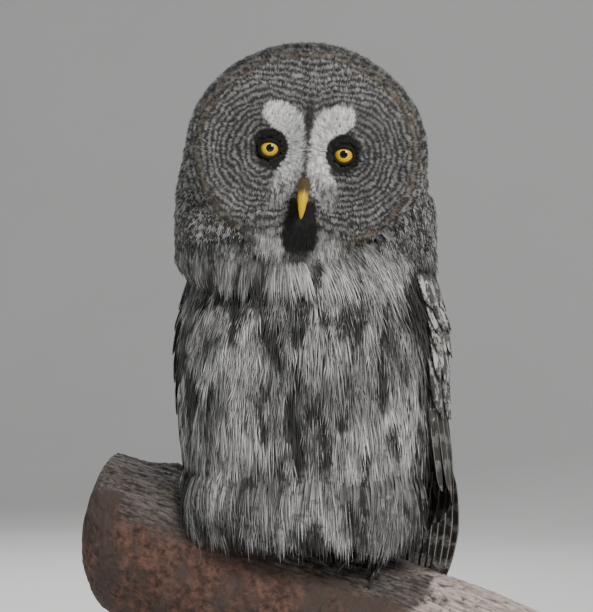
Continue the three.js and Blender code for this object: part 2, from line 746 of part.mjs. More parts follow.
const TOE_TURNS = [-15, 14, 166, 196]; // degrees from straight ahead
const TOE_LENGTHS = [38, 40, 27, 28];
const CLAW_REACH = 21; // beyond the toe

// The path of one toe over the bark, then of its claw.
function toePath(side, toe, shares, height) {
  const turn = side * TOE_TURNS[toe] * DEG;
  return shares.map((t, j) => perchPoint(
    side * FEET_SPREAD + TOE_LENGTHS[toe] * t * Math.sin(turn),
    3 - TOE_LENGTHS[toe] * t * Math.cos(turn),
    height[j],
  ));
}

function foot(side, grow = 0) {
  const pad = new THREE.SphereGeometry(1, 10, 6);
  pad.scale(14 + grow, 17 + grow, 11 + grow);
  pad.translate(...perchPoint(side * FEET_SPREAD, 3, 8).toArray());
  const toes = TOE_TURNS.map((_, toe) => tube(
    toePath(side, toe, [0, 0.45, 0.8, 1], [8, 8, 7, 6]), [8, 8.2, 7.2, 5.4].map((r) => r + grow), 6,
  ));
  return join([solidOf(pad), ...toes]);
}

function footNode(side) {
  return cut(foot(side), leg(side, GAP), perch(GAP));
}

function claw(side, toe) {
  const far = 1 + CLAW_REACH / TOE_LENGTHS[toe];
  const path = toePath(side, toe, [0.94, lerp(1, far, 0.35), lerp(1, far, 0.7), far], [6.5, 8.5, 6.4, 1.6]);
  return cut(tube(path, [3.4, 3, 2, 0.5], 7), foot(side, GAP), perch(GAP));
}

// The scene graph

const finish = (color, roughness, metalness = 0) => (
  new THREE.MeshStandardMaterial({ color, roughness, metalness })
);
const plumage = finish(0x8a8a88, 0.9);
const facePlumage = finish(0x6f6f6f, 0.9);
const flightFeathers = finish(0x55544f, 0.75);
const iris = finish(0xe6b412, 0.15);
const beakHorn = finish(0xf0b90f, 0.35);
const clawHorn = finish(0x1b1a1a, 0.35);
const bark = finish(0x6b5346, 0.85);
const standMetal = finish(0x2b2b2d, 0.5, 0.6);

// A named mesh whose geometry is held in its group's own frame, with no edges finer than the model's.
function mesh(name, solid, material, frame = new THREE.Matrix4()) {
  const plain = largest(solid.simplify(FINEST_EDGE));
  const made = new THREE.Mesh(geometryOf(plain).applyMatrix4(frame.clone().invert()), material);
  made.name = name;
  return made;
}

function groupAt(frame) {
  const group = new THREE.Group();
  group.applyMatrix4(frame);
  return group;
}

const sides = [["left", 1], ["right", -1]];
const model = new THREE.Group();
const headGroup = groupAt(headFrame);
const perchGroup = groupAt(perchFrame);

headGroup.add(mesh("head", head(), plumage, headFrame));
const inHead = (name, solid, material) => mesh(name, inFrame(solid, headFrame), material, headFrame);
headGroup.add(inHead("facial_disc", facialDisc(), facePlumage));
headGroup.add(inHead("beak_upper", cut(beakUpper(), nostril(-1), nostril(1)), beakHorn));
headGroup.add(inHead("beak_lower", cut(beakLower(), beakUpper(GAP)), beakHorn));
sides.forEach(([word, side]) => headGroup.add(inHead("eye_" + word, eye(side), iris)));

model.add(mesh("neck", neck(), plumage));
model.add(mesh("torso", torso(), plumage));
model.add(mesh("tail", tailNode(), flightFeathers));
sides.forEach(([word, side]) => {
  model.add(mesh("wing_" + word, wing(side), flightFeathers));
  model.add(mesh("leg_" + word, cut(leg(side), torsoCore(GAP), perch(GAP)), plumage));
  model.add(mesh("stand_rod_" + word, standRod(side), standMetal));
  perchGroup.add(mesh("foot_" + word, footNode(side), plumage, perchFrame));
  TOE_TURNS.forEach((_, toe) => {
    perchGroup.add(mesh("claw_" + word + "_" + (toe + 1), claw(side, toe), clawHorn, perchFrame));
  });
});
perchGroup.add(mesh("perch", perch(), bark, perchFrame));
model.add(mesh("stand_base", standBase(), standMetal), headGroup, perchGroup);

export default model;
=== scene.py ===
import math

import bmesh
import bpy
import numpy as np
from mathutils import Matrix, Vector


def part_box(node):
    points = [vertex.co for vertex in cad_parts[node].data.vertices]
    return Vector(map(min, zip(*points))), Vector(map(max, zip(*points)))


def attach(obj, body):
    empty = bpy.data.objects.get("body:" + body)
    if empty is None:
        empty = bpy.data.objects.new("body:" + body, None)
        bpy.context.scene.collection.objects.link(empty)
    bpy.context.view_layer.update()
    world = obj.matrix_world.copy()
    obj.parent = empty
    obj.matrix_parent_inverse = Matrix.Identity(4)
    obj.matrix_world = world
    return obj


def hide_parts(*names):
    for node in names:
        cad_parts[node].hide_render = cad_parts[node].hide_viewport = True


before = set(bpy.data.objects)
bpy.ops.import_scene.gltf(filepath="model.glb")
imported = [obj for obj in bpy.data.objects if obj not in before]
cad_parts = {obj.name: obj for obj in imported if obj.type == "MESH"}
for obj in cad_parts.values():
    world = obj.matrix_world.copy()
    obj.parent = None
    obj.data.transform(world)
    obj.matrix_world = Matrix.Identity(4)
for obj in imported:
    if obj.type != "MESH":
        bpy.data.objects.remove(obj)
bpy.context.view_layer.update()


# Studio
# A pale floor with soft light from all round, brightest from the upper right of the picture, and a long lens
# at the height of the owl's breast. The stand under the branch lies below the picture's edge.
PERCH_TOP = 0.262  # the branch's upper line at the owl, above the floor
VIEW_TURN = math.radians(15)
VIEW_DISTANCE = 2.2
VIEW_WIDTH = 0.486  # the picture's width at the owl
VIEW_SHIFT = -0.012  # the picture's middle is this far to the owl's right of the stand's middle
AIM = Vector((VIEW_SHIFT * math.cos(VIEW_TURN), VIEW_SHIFT * math.sin(VIEW_TURN), PERCH_TOP + 0.180))

camera_data = bpy.data.cameras.new("camera")
camera_data.sensor_fit = "HORIZONTAL"
camera_data.sensor_width = 36
camera_data.lens = 36 * VIEW_DISTANCE / VIEW_WIDTH
camera_data.clip_end = 60
camera = bpy.data.objects.new("camera", camera_data)
bpy.context.scene.collection.objects.link(camera)
camera.location = AIM + VIEW_DISTANCE * Vector((math.sin(VIEW_TURN), -math.cos(VIEW_TURN), 0.012))
camera.rotation_euler = (AIM - camera.location).to_track_quat("-Z", "Y").to_euler()
bpy.context.scene.camera = camera


def soft_light(name, place, size, power, colour=(1, 1, 1)):
    data = bpy.data.lights.new(name, "AREA")
    data.size = size
    data.energy = power
    data.color = colour
    light = bpy.data.objects.new(name, data)
    bpy.context.scene.collection.objects.link(light)
    light.location = place
    light.rotation_euler = (Vector((0, 0, 0.42)) - light.location).to_track_quat("-Z", "Y").to_euler()


soft_light("key_light", (1.5, -1.5, 1.9), 0.8, 62, (1, 0.985, 0.96))
soft_light("fill_light", (-1.8, -1.5, 0.9), 1.6, 8, (0.95, 0.97, 1))
soft_light("back_light", (-0.9, 1.9, 1.7), 1.0, 34)

world = bpy.data.worlds.new("studio")
bpy.context.scene.world = world
world.use_nodes = True
world.node_tree.nodes["Background"].inputs["Color"].default_value = (0.86, 0.87, 0.88, 1)
world.node_tree.nodes["Background"].inputs["Strength"].default_value = 0.42


def mesh_object(name, vertices, faces):
    mesh = bpy.data.meshes.new(name)
    mesh.from_pydata([tuple(v) for v in vertices], [], [tuple(f) for f in faces])
    mesh.update()
    piece = bpy.data.objects.new(name, mesh)
    bpy.context.scene.collection.objects.link(piece)
    return piece


def smooth_shaded(piece):
    piece.data.polygons.foreach_set("use_smooth", [True] * len(piece.data.polygons))


class Nodes:
    """Short calls for the few nodes that this object's finishes use, in a material or in a shared group."""

    def __init__(self, tree):
        self.tree = tree

    def put(self, socket, value):
        if isinstance(value, bpy.types.NodeSocket):
            self.tree.links.new(value, socket)
        elif value is not None:
            socket.default_value = value

    def math(self, operation, a, b=None, c=None, clamp=False):
        node = self.tree.nodes.new("ShaderNodeMath")
        node.operation = operation
        node.use_clamp = clamp
        for socket, value in zip(node.inputs, (a, b, c)):
            self.put(socket, value)
        return node.outputs[0]

    def times(self, a, b):
        return self.math("MULTIPLY", a, b)

    def plus(self, a, b, clamp=False):
        return self.math("ADD", a, b, clamp=clamp)

    def minus(self, a, b):
        return self.math("SUBTRACT", a, b)

    def vector_math(self, operation, a, b=None):
        node = self.tree.nodes.new("ShaderNodeVectorMath")
        node.operation = operation
        for socket, value in zip(node.inputs, (a, b)):
            self.put(socket, value)
        return node.outputs["Value" if operation == "LENGTH" else "Vector"]

    def distance(self, x, y, z):
        return self.vector_math("LENGTH", self.join(x, y, z))

    def ramp(self, value, low, high, start=0.0, end=1.0):
        """start where value is low or less, end where it is high or more, and smooth between."""
        node = self.tree.nodes.new("ShaderNodeMapRange")
        node.interpolation_type = "SMOOTHSTEP"
        for socket, number in zip(node.inputs, (value, low, high, start, end)):
            self.put(socket, number)
        return node.outputs[0]

    def mix(self, share, a, b, blend="MIX"):
        node = self.tree.nodes.new("ShaderNodeMix")
        node.data_type = "RGBA"
        node.blend_type = blend
        self.put(node.inputs[0], share)
        self.put(node.inputs[6], a)
        self.put(node.inputs[7], b)
        return node.outputs[2]

    def noise(self, vector, scale, detail=2.0, roughness=0.5, distortion=0.0):
        node = self.tree.nodes.new("ShaderNodeTexNoise")
        self.put(node.inputs["Vector"], vector)
        keys = ("Scale", "Detail", "Roughness", "Distortion")
        for key, value in zip(keys, (scale, detail, roughness, distortion)):
            node.inputs[key].default_value = value
        return node.outputs["Fac"]

    def curve(self, value, points):
        """A smooth function of value through a few (value, result) points, both from 0 to 1."""
        node = self.tree.nodes.new("ShaderNodeFloatCurve")
        self.put(node.inputs["Value"], value)
        line = node.mapping.curves[0]
        while len(line.points) < len(points):
            line.points.new(0.5, 0.5)
        for point, spot in zip(line.points, sorted(points)):
            point.location = spot
        node.mapping.update()
        return node.outputs[0]

    def mapped(self, vector, rotation=(0, 0, 0), scale=(1, 1, 1)):
        node = self.tree.nodes.new("ShaderNodeMapping")
        self.put(node.inputs["Vector"], vector)
        node.inputs["Rotation"].default_value = rotation
        node.inputs["Scale"].default_value = scale
        return node.outputs[0]

    def split(self, vector):
        node = self.tree.nodes.new("ShaderNodeSeparateXYZ")
        self.put(node.inputs[0], vector)
        return node.outputs

    def join(self, x, y, z):
        node = self.tree.nodes.new("ShaderNodeCombineXYZ")
        for socket, value in zip(node.inputs, (x, y, z)):
            self.put(socket, value)
        return node.outputs[0]

    def attribute(self, name):
        node = self.tree.nodes.new("ShaderNodeAttribute")
        node.attribute_name = name
        return node.outputs["Fac"]

    def group(self, tree, **values):
        node = self.tree.nodes.new("ShaderNodeGroup")
        node.node_tree = tree
        for key, value in values.items():
            self.put(node.inputs[key], value)
        return node.outputs


class Material(Nodes):
    """A material in the making. A feather's markings are mostly those at the place of its root."""

    def __init__(self, name, roughness, root_share=0.0):
        self.root_share = root_share
        self.material = bpy.data.materials.new(name)
        self.material.use_nodes = True
        super().__init__(self.material.node_tree)
        self.shader = self.tree.nodes["Principled BSDF"]
        self.shader.inputs["Roughness"].default_value = roughness

    def place(self):
        """The place whose markings show, which a feather takes mostly from its own root."""
        here = self.tree.nodes.new("ShaderNodeTexCoord").outputs["Object"]
        if not self.root_share:
            return here
        reader = self.tree.nodes.new("ShaderNodeAttribute")
        reader.attribute_name = "root"
        blend = self.tree.nodes.new("ShaderNodeMix")
        blend.data_type = "VECTOR"
        self.put(blend.inputs[0], self.root_share)
        self.put(blend.inputs[4], here)
        self.put(blend.inputs[5], reader.outputs["Vector"])
        return blend.outputs[1]

    def bump(self, height, strength, distance):
        node = self.tree.nodes.new("ShaderNodeBump")
        self.put(node.inputs["Height"], height)
        node.inputs["Strength"].default_value = strength
        node.inputs["Distance"].default_value = distance
        self.put(self.shader.inputs["Normal"], node.outputs[0])

    def colour(self, value):
        self.put(self.shader.inputs["Base Color"], value)

    def set(self, **values):
        """Constants on the shader's own sockets, named in lower case with underscores."""
        for key, value in values.items():
            self.shader.inputs[key.replace("_", " ").title().replace("Ior", "IOR")].default_value = value


# The floor sweeps up into a wall far behind the owl.
SWEEP_START, SWEEP_RADIUS, WALL_HEIGHT, BACKDROP_REACH = 2.6, 2.0, 9.0, 14.0
sweep = [(-BACKDROP_REACH, 0.0), (SWEEP_START, 0.0)]
for step in range(1, 17):
    turn = step / 16 * math.pi / 2
    sweep.append((SWEEP_START + SWEEP_RADIUS * math.sin(turn), SWEEP_RADIUS * (1 - math.cos(turn))))
sweep.append((SWEEP_START + SWEEP_RADIUS, WALL_HEIGHT))
floor_points = [(x, y, z) for y, z in sweep for x in (-BACKDROP_REACH, BACKDROP_REACH)]
floor_faces = [(2 * j, 2 * j + 1, 2 * j + 3, 2 * j + 2) for j in range(len(sweep) - 1)]
floor = mesh_object("floor", floor_points, floor_faces)
smooth_shaded(floor)
floor_paint = Material("floor_paint", 0.85)
floor_paint.colour(floor_paint.mix(
    floor_paint.noise(floor_paint.place(), 3.0, 4), (0.7, 0.7, 0.69, 1), (0.75, 0.75, 0.74, 1)
))
floor.data.materials.append(floor_paint.material)


# Branch
# A cut length of thick old branch, lying with its left end high. That end is weathered round, with a broken
# knot on top, and the right end is sawn. Red-brown bark is left on the flanks, and the top is worn to grey
# wood, painted dark as shade, with painted sunlight on it towards the right end. Painted shade lies in the
# bark's cracks and hollows. Two rods of the stand hold it from below.
PERCH_RADIUS = 0.065
PERCH_LEFT = 0.200
PERCH_RIGHT = 0.202
END_ROUNDING = 0.060  # length over which the left end is worn round
FULL_BARK = (-0.19, 0.2)  # beyond these places the girth is taken from them
END_SHARE = 0.45  # share of the girth left at that end
END_LIFT = 0.034  # the end is worn more from below
PERCH_TILT = math.radians(19)
perch_place = Matrix.Translation((0, 0, PERCH_TOP - PERCH_RADIUS / math.cos(PERCH_TILT))) @ Matrix.Rotation(
    PERCH_TILT, 4, "Y"
)
perch_turn = np.array(perch_place.to_3x3())
perch_middle = np.array(perch_place.translation)


def end_rounding(along):
    from_end = np.clip((along + PERCH_LEFT) / END_ROUNDING, 0, 1)
    return np.sqrt(1 - (1 - from_end) ** 2.4)


def perch_radius(along, around):
    """The bark's distance from the branch's middle line, at a place along it and round it."""
    mm = along * 1000
    swell = 0.022 * np.sin(2 * around + mm / 55) + 0.016 * np.sin(3 * around - mm / 34)
    return PERCH_RADIUS * (1 + swell) * (END_SHARE + (1 - END_SHARE) * end_rounding(along))


def perch_point(along, arc, above):
    """A point above the bark, arc metres round from the branch's upper line towards its back."""
    turn = arc / PERCH_RADIUS
    radius = perch_radius(along, np.where(turn < 0, turn + 2 * np.pi, turn)) + above
    local = np.stack([along + 0 * radius, radius * np.sin(turn), radius * np.cos(turn)], -1)
    return local @ perch_turn.T + perch_middle


def clear_of_perch(points, margin):
    """Points moved straight out of the branch until they clear the bark by a margin."""
    local = (points - perch_middle) @ perch_turn
    distance = np.maximum(np.hypot(local[:, 1], local[:, 2]), 1e-6)
    within = np.clip(local[:, 0], *FULL_BARK)
    least = perch_radius(within, np.arctan2(local[:, 1], local[:, 2])) + margin
    beside = (local[:, 0] > -PERCH_LEFT) & (local[:, 0] < PERCH_RIGHT)
    push = np.where(beside, np.maximum(least / distance, 1), 1)
    local[:, 1] *= push
    local[:, 2] *= push
    return local @ perch_turn.T + perch_middle


def lattice_noise(x, y, cells_round, seed):
    """Smooth random values from 0 to 1 over x, and over y in whole turns of some cells each."""
    table = np.random.default_rng(seed).random((512, cells_round))
    across = y * cells_round
    i, k = np.floor(x).astype(int), np.floor(across).astype(int)
    s, t = x - i, across - k
    s, t = s * s * (3 - 2 * s), t * t * (3 - 2 * t)
    a, b = table[i % 512, k % cells_round], table[i % 512, (k + 1) % cells_round]
    c, d = table[(i + 1) % 512, k % cells_round], table[(i + 1) % 512, (k + 1) % cells_round]
    return (a * (1 - t) + b * t) * (1 - s) + (c * (1 - t) + d * t) * s


def branch_mesh():
    """The branch's points and faces, and how far each point lies below the bark's own level, from 0 to 1,
    which sets its painted shade.
    """
    along_steps, around_steps = 372, 250
    along = np.linspace(-PERCH_LEFT, PERCH_RIGHT, along_steps)[:, None] + np.zeros((1, around_steps))
    around = np.linspace(0, 2 * np.pi, around_steps, endpoint=False)[None, :] + 0 * along
    share = around / (2 * np.pi)
    plates = lattice_noise(along * 75 + 40, share + 0.03 * np.sin(along * 60), 40, 3)
    plates = 0.5 * plates + 0.3 * lattice_noise(along * 190 + 40, share, 96, 4)
    plates = plates + 0.2 * lattice_noise(along * 400 + 300, share, 200, 8)
    grooves = lattice_noise(along * 17 + 40, share + 0.012 * np.sin(along * 55), 74, 5)
    grooves = 0.6 * grooves + 0.4 * lattice_noise(along * 50 + 40, share, 190, 6)
    grit = lattice_noise(along * 520 + 300, share, 330, 7)
    top = np.clip((np.cos(around) - 0.1) / 0.7, 0, 1)
    crack = np.clip(1 - np.abs(grooves - 0.5) / 0.055, 0, 1) * top
    broken = np.clip((lattice_noise(along * 45 + 90, share, 22, 9) - 0.35) / 0.3, 0, 1)
    crevice = np.clip(1 - np.abs(plates - 0.45) / 0.03, 0, 1) * (1 - top) * broken
    depth = 0.0016 * crack + 0.0012 * crevice
    level = (1 - top) * (plates - 0.5) * 0.0055 + top * (grooves - 0.5) * 0.0032 + (grit - 0.5) * 0.0011
    knot = np.exp(-((along + 0.152) / 0.02) ** 2 - ((around - 0.6) / 0.32) ** 2)
    radius = perch_radius(along, around) - 0.0006 + level - depth + 0.016 * knot * (0.8 + 0.4 * grooves)
    lift = END_LIFT * (1 - end_rounding(along))
    low = 0.5 - (top * grooves + (1 - top) * plates)
    # Painted shade, deepest in the cracks and crevices and where the bark lies low.
    hollow_shade = np.clip(0.75 * crack + 0.45 * crevice + 1.3 * low, 0, 1)
    points = np.stack([along, radius * np.sin(around), lift + radius * np.cos(around)], -1)
    faces = []
    for i in range(along_steps - 1):
        for k in range(around_steps):
            a, b = i * around_steps + k, i * around_steps + (k + 1) % around_steps
            faces.append((a, b, b + around_steps, a + around_steps))
    points = list(points.reshape(-1, 3))
    hollow_shade = list(hollow_shade.ravel())
    for end, first in ((-1, 0), (1, (along_steps - 1) * around_steps)):
        ring = [first + k for k in range(around_steps)]
        hub_lift = END_LIFT if end < 0 else 0.0
        for shrink in (0.985, 0.86, 0.6, 0.3):
            base = len(points)
            for k in range(around_steps):
                x, y, z = points[first + k]
                wobble = 0.0006 * math.sin(5 * k * 2 * math.pi / around_steps + 9 * shrink)
                rounded = 0.004 * (1 - shrink) if end < 0 else -0.0008
                height = hub_lift + (z - hub_lift) * shrink
                points.append(np.array([x + end * (rounded + wobble), y * shrink, height]))
                # The worn end gets radial stripes of painted shade, drawn as dark cracks.
                hollow_shade.append(0.5 if end < 0 and k % 7 < 2 else 0.0)
            inner = [base + k for k in range(around_steps)]
            for k in range(around_steps):
                n = (k + 1) % around_steps
                quad = (ring[k], ring[n], inner[n], inner[k])
                faces.append(quad if end > 0 else quad[::-1])
            ring = inner
        points.append(np.mean([points[i] for i in ring], axis=0))
        hollow_shade.append(0.0)
        hub = len(points) - 1
        for k in range(around_steps):
            tri = (ring[k], ring[(k + 1) % around_steps], hub)
            faces.append(tri if end > 0 else tri[::-1])
    return np.array(points) @ perch_turn.T + perch_middle, faces, np.array(hollow_shade, np.float32)


branch_points, branch_faces, branch_hollow_shade = branch_mesh()
branch = mesh_object("branch", branch_points, branch_faces)
branch.data.attributes.new("hollow_shade", "FLOAT", "POINT").data.foreach_set("value", branch_hollow_shade)
smooth_shaded(branch)

bark = Material("bark", 0.82)
local_bark = bark.mapped(
    bark.vector_math("SUBTRACT", bark.place(), tuple(perch_middle)), rotation=(0, -PERCH_TILT, 0)
)
bark_x, bark_y, bark_z = bark.split(local_bark)
stretched = bark.join(bark.times(bark_x, 0.22), bark_y, bark_z)
grain = bark.noise(stretched, 420, 6, 0.68)
blotch = bark.noise(local_bark, 22, 6, 0.62)
flecks = bark.noise(local_bark, 150, 5, 0.68)
speck = bark.noise(local_bark, 700, 3, 0.7)
height_share = bark.plus(bark_z, bark.times(bark_y, 0.35))
# The top is worn to bare wood, which comes in two copies: dark grey as painted shade, and pale as painted
# sunlight.
worn_and_shaded = bark.plus(bark.ramp(height_share, -0.012, 0.05), bark.ramp(blotch, 0.68, 0.36, -0.34, 0.34))
bark_red = bark.mix(bark.ramp(flecks, 0.32, 0.66), (0.03, 0.015, 0.011, 1), (0.15, 0.075, 0.052, 1))
bark_red = bark.mix(bark.ramp(blotch, 0.42, 0.6), bark_red, (0.062, 0.042, 0.034, 1))
bark_red = bark.mix(bark.ramp(speck, 0.6, 0.72, 0, 0.6), bark_red, (0.22, 0.15, 0.12, 1))
# The worn wood in painted shade: dark grey, with darker flecks.
shaded_grey_wood = bark.mix(bark.ramp(grain, 0.34, 0.66), (0.016, 0.0135, 0.0125, 1), (0.15, 0.125, 0.112, 1))
shaded_grey_wood = bark.mix(bark.ramp(flecks, 0.55, 0.7, 0, 0.7), shaded_grey_wood, (0.062, 0.045, 0.038, 1))
pale_wood = bark.mix(bark.ramp(grain, 0.3, 0.72), (0.27, 0.2, 0.17, 1), (0.66, 0.57, 0.52, 1))
bark_colour = bark.mix(bark.ramp(worn_and_shaded, 0.3, 0.7), bark_red, shaded_grey_wood)
# Painted sunlight: the worn top turns to much paler wood towards the branch's right end.
sunlit = bark.plus(bark.ramp(bark_x, 0.055, 0.14), bark.ramp(blotch, 0.6, 0.4, -0.3, 0.3))
sunlit = bark.times(bark.ramp(sunlit, 0.35, 0.75), bark.ramp(worn_and_shaded, 0.1, 0.6))
bark_colour = bark.mix(sunlit, bark_colour, pale_wood)
# An old pruned place on the front, ringed by a dark rim.
SCAR_PLACE, SCAR_REACH = (0.07, -0.0635, 0.004), (0.026, 0.03, 0.013)
from_scar = bark.vector_math("SUBTRACT", local_bark, SCAR_PLACE)
scar = bark.vector_math("LENGTH", bark.vector_math("DIVIDE", from_scar, SCAR_REACH))
scar = bark.plus(scar, bark.ramp(blotch, 0.3, 0.7, -0.2, 0.2))
bark_colour = bark.mix(bark.ramp(scar, 1.15, 0.95), bark_colour, pale_wood)
scar_rim = bark.ramp(bark.math("ABSOLUTE", bark.minus(scar, 1.2)), 0.14, 0.03, 0, 0.85)
bark_colour = bark.mix(scar_rim, bark_colour, (0.02, 0.014, 0.011, 1))
# Painted shade: the bark's cracks, crevices and low places, and the stripes on the worn end, are painted near
# black.
in_hollow_shade = bark.ramp(bark.attribute("hollow_shade"), 0.12, 0.85, 0, 0.9)
bark_colour = bark.mix(in_hollow_shade, bark_colour, (0.01, 0.007, 0.006, 1))
sawn = bark.ramp(bark_x, PERCH_RIGHT - 0.0015, PERCH_RIGHT - 0.0004)
from_pith = bark.plus(bark.distance(0.0, bark_y, bark_z), bark.times(blotch, 0.005))
rings = bark.math("SINE", bark.times(from_pith, 2200.0))
sawn_wood = bark.mix(bark.ramp(rings, -1.0, 1.0), (0.34, 0.225, 0.14, 1), (0.5, 0.37, 0.25, 1))
bark.colour(bark.mix(sawn, bark_colour, sawn_wood))
bark.bump(bark.plus(bark.times(grain, 0.6), bark.times(flecks, 0.5)), 0.8, 0.0016)
branch.data.materials.append(bark.material)
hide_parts("perch")
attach(branch, "root")


# Display stand
# A low oval base, cast in aluminium with a rounded edge and painted satin black, and two steel rods
# screwed up into the branch, each through a small collar on the base.
stand_paint = Material("stand_paint", 0.42)
stand_paint.colour(stand_paint.mix(
    stand_paint.noise(stand_paint.place(), 900, 2), (0.018, 0.018, 0.02, 1), (0.032, 0.032, 0.034, 1)
))
stand_paint.bump(stand_paint.noise(stand_paint.place(), 1400, 2), 0.12, 0.0004)


def turned(name, profile, centre=(0, 0), stretch=(1, 1), segments=96):
    """A closed turned shape from a profile of (radius, height) that starts and ends on its axis."""
    points = [(centre[0], centre[1], profile[0][1])]
    for radius, height in profile[1:-1]:
        for k in range(segments):
            turn = 2 * math.pi * k / segments
            x = centre[0] + stretch[0] * radius * math.cos(turn)
            y = centre[1] + stretch[1] * radius * math.sin(turn)
            points.append((x, y, height))
    points.append((centre[0], centre[1], profile[-1][1]))
    rows = len(profile) - 2
    faces = [(0, 1 + (k + 1) % segments, 1 + k) for k in range(segments)]
    for j in range(rows - 1):
        for k in range(segments):
            a, b = 1 + j * segments + k, 1 + j * segments + (k + 1) % segments
            faces.append((a, b, b + segments, a + segments))
    top = 1 + (rows - 1) * segments
    faces += [(top + k, top + (k + 1) % segments, len(points) - 1) for k in range(segments)]
    piece = mesh_object(name, points, faces)
    smooth_shaded(piece)
    piece.data.materials.append(stand_paint.material)
    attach(piece, "root")
    return piece


base_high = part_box("stand_base")[1]
BASE_EDGE = [
    (0.0015, 0), (0.0006, 0.0006), (0, 0.002), (0, 0.0105),
    (0.0007, 0.0127), (0.0025, 0.0138), (0.005, 0.014),
]
base_profile = [(0, 0), (0.5, 0)]
base_profile += [(1 - inset / base_high.x, height) for inset, height in BASE_EDGE]
base_profile += [(0.5, 0.014), (0, 0.014)]
base = turned("base", base_profile, stretch=(base_high.x, base_high.y))
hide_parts("stand_base")
for word in ("left", "right"):
    low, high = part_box("stand_rod_" + word)
    middle = ((low.x + high.x) / 2, (low.y + high.y) / 2)
    reach = (high.x - low.x) / 2
    rod_profile = [
        (0, low.z), (reach + 0.006, low.z), (reach + 0.006, low.z + 0.005), (reach + 0.003, low.z + 0.0075),
        (reach, low.z + 0.008), (reach, high.z - 0.002), (reach * 0.6, high.z - 0.001), (0, high.z - 0.001),
    ]
    rod = turned("rod_" + word, rod_profile, middle, segments=48)
    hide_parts("stand_rod_" + word)


# Skin
# The bird's own form under its feathers, in one piece from crown to toes. The feathers are all rooted in it.
# Heights on the body are from the branch's upper line, and angles from the breast's middle line.
BODY_ROWS = np.array([
    [-0.190, 0.052, 0.060, 0.090], [-0.120, 0.066, 0.060, 0.088], [-0.060, 0.082, 0.062, 0.086],
    [0.000, 0.092, 0.072, 0.084], [0.045, 0.098, 0.083, 0.084], [0.090, 0.103, 0.088, 0.087],
    [0.135, 0.106, 0.088, 0.088], [0.165, 0.105, 0.084, 0.086], [0.190, 0.099, 0.078, 0.081],
    [0.214, 0.095, 0.074, 0.078],
])
BELLY_BASE = 0.020


def body_point(height, angle, out=0.0):
    width, front, back = (np.interp(height, BODY_ROWS[:, 0], BODY_ROWS[:, k]) for k in (1, 2, 3))
    sine, cosine = np.sin(angle), np.cos(angle)
    reach = np.where(cosine > 0, front, back) + out
    return np.stack([
        np.sign(sine) * np.abs(sine) ** (2 / 2.2) * (width + out),
        -np.sign(cosine) * np.abs(cosine) ** (2 / 2.2) * reach,
        PERCH_TOP + height + 0 * sine,
    ], -1)


def outward(surface, first, second):
    """The unit normal of a surface function of two values, pointing away from the body's middle line."""
    step = 1e-4
    a = surface(first + step, second) - surface(first - step, second)
    b = surface(first, second + step * 20) - surface(first, second - step * 20)
    normal = np.cross(a, b)
    normal /= np.maximum(np.linalg.norm(normal, axis=-1, keepdims=True), 1e-9)
    away = surface(first, second) - HUB
    return normal * np.sign(np.sum(normal * away, axis=-1, keepdims=True) + 1e-12)


HUB = np.array([0, 0, PERCH_TOP + 0.16])

# The head has a frame of its own, with its origin at eye level and the face towards -Y.
EYE_LEVEL = 0.303
HEAD_TURN = math.radians(15)
HEAD_ROLL = math.radians(5)
head_place = (
    Matrix.Translation((-0.004, 0, PERCH_TOP + EYE_LEVEL)) @ Matrix.Rotation(HEAD_TURN, 4, "Z")
    @ Matrix.Rotation(HEAD_ROLL, 4, "Y")
)
head_turn = np.array(head_place.to_3x3())
head_middle = np.array(head_place.translation)
DISC_HALF_WIDTH = 0.086
DISC_HALF_HEIGHT = 0.077
EYE_SPREAD = 0.0295
EYE_DEPTH = -0.071
HEAD_WIDEST = -0.053
CROWN_RISE = 0.140


def from_head(points):
    return points @ head_turn.T + head_middle


def to_head(points):
    return (points - head_middle) @ head_turn


def dome_share(height, power):
    rise = np.clip((height - HEAD_WIDEST) / CROWN_RISE, 0, 1)
    return np.maximum(1 - rise**power, 0) ** (1 / power)


def head_point(height, angle, out=0.0):
    sine, cosine = np.sin(angle), np.cos(angle)
    lower = np.maximum(HEAD_WIDEST - height, 0) * 1000
    width = 0.102 * dome_share(height, 2.3) - 3.5e-6 * lower**2 + out
    front = 0.082 * dome_share(height, 3.5) + out
    back = 0.086 * dome_share(height, 2.2) - 5e-6 * lower**2 + out
    power = np.where(cosine > 0, 2 / 3.3, 2 / 2.2)
    return np.stack([
        np.sign(sine) * np.abs(sine) ** (2 / 2.4) * width,
        -np.sign(cosine) * np.abs(cosine) ** power * np.where(cosine > 0, front, back),
        height + 0 * sine,
    ], -1)


def disc_depth(across, up):
    """How far forward the disc lies in the head's frame: two bowls, a ridge between and a raised rim."""
    rho = np.hypot(across / DISC_HALF_WIDTH, up / DISC_HALF_HEIGHT)
    bowl = 7 * np.exp(-((np.abs(across) * 1000 - 33) ** 2 + (up * 1000) ** 2) / 968)
    lowness = np.clip((up * 1000 + 40) / 22, 0, 1)
    ridge = 8 * np.exp(-((across / 0.009) ** 2)) * lowness**2 * (3 - 2 * lowness)
    rim = 4 * np.exp(-(((rho - 0.97) / 0.07) ** 2))
    return (-86 + 19 * rho**2 + bowl - ridge - rim) / 1000 + 0.12 * up


def disc_point(across, up, out=0.0):
    return np.stack([across, disc_depth(across, up) - out, up + 0 * across], -1)


def closed_grid(rows):
    """A closed mesh from rings of points, with a hub in each end."""
    rows = np.array(rows)
    count = rows.shape[1]
    points = [*rows.reshape(-1, 3), rows[0].mean(0), rows[-1].mean(0)]
    faces = []
    for j in range(len(rows) - 1):
        for k in range(count):
            a, b = j * count + k, j * count + (k + 1) % count
            faces.append((a, b, b + count, a + count))
    last = (len(rows) - 1) * count
    for k in range(count):
        faces.append((k, len(points) - 2, (k + 1) % count))
        faces.append((last + k, last + (k + 1) % count, len(points) - 1))
    return points, faces


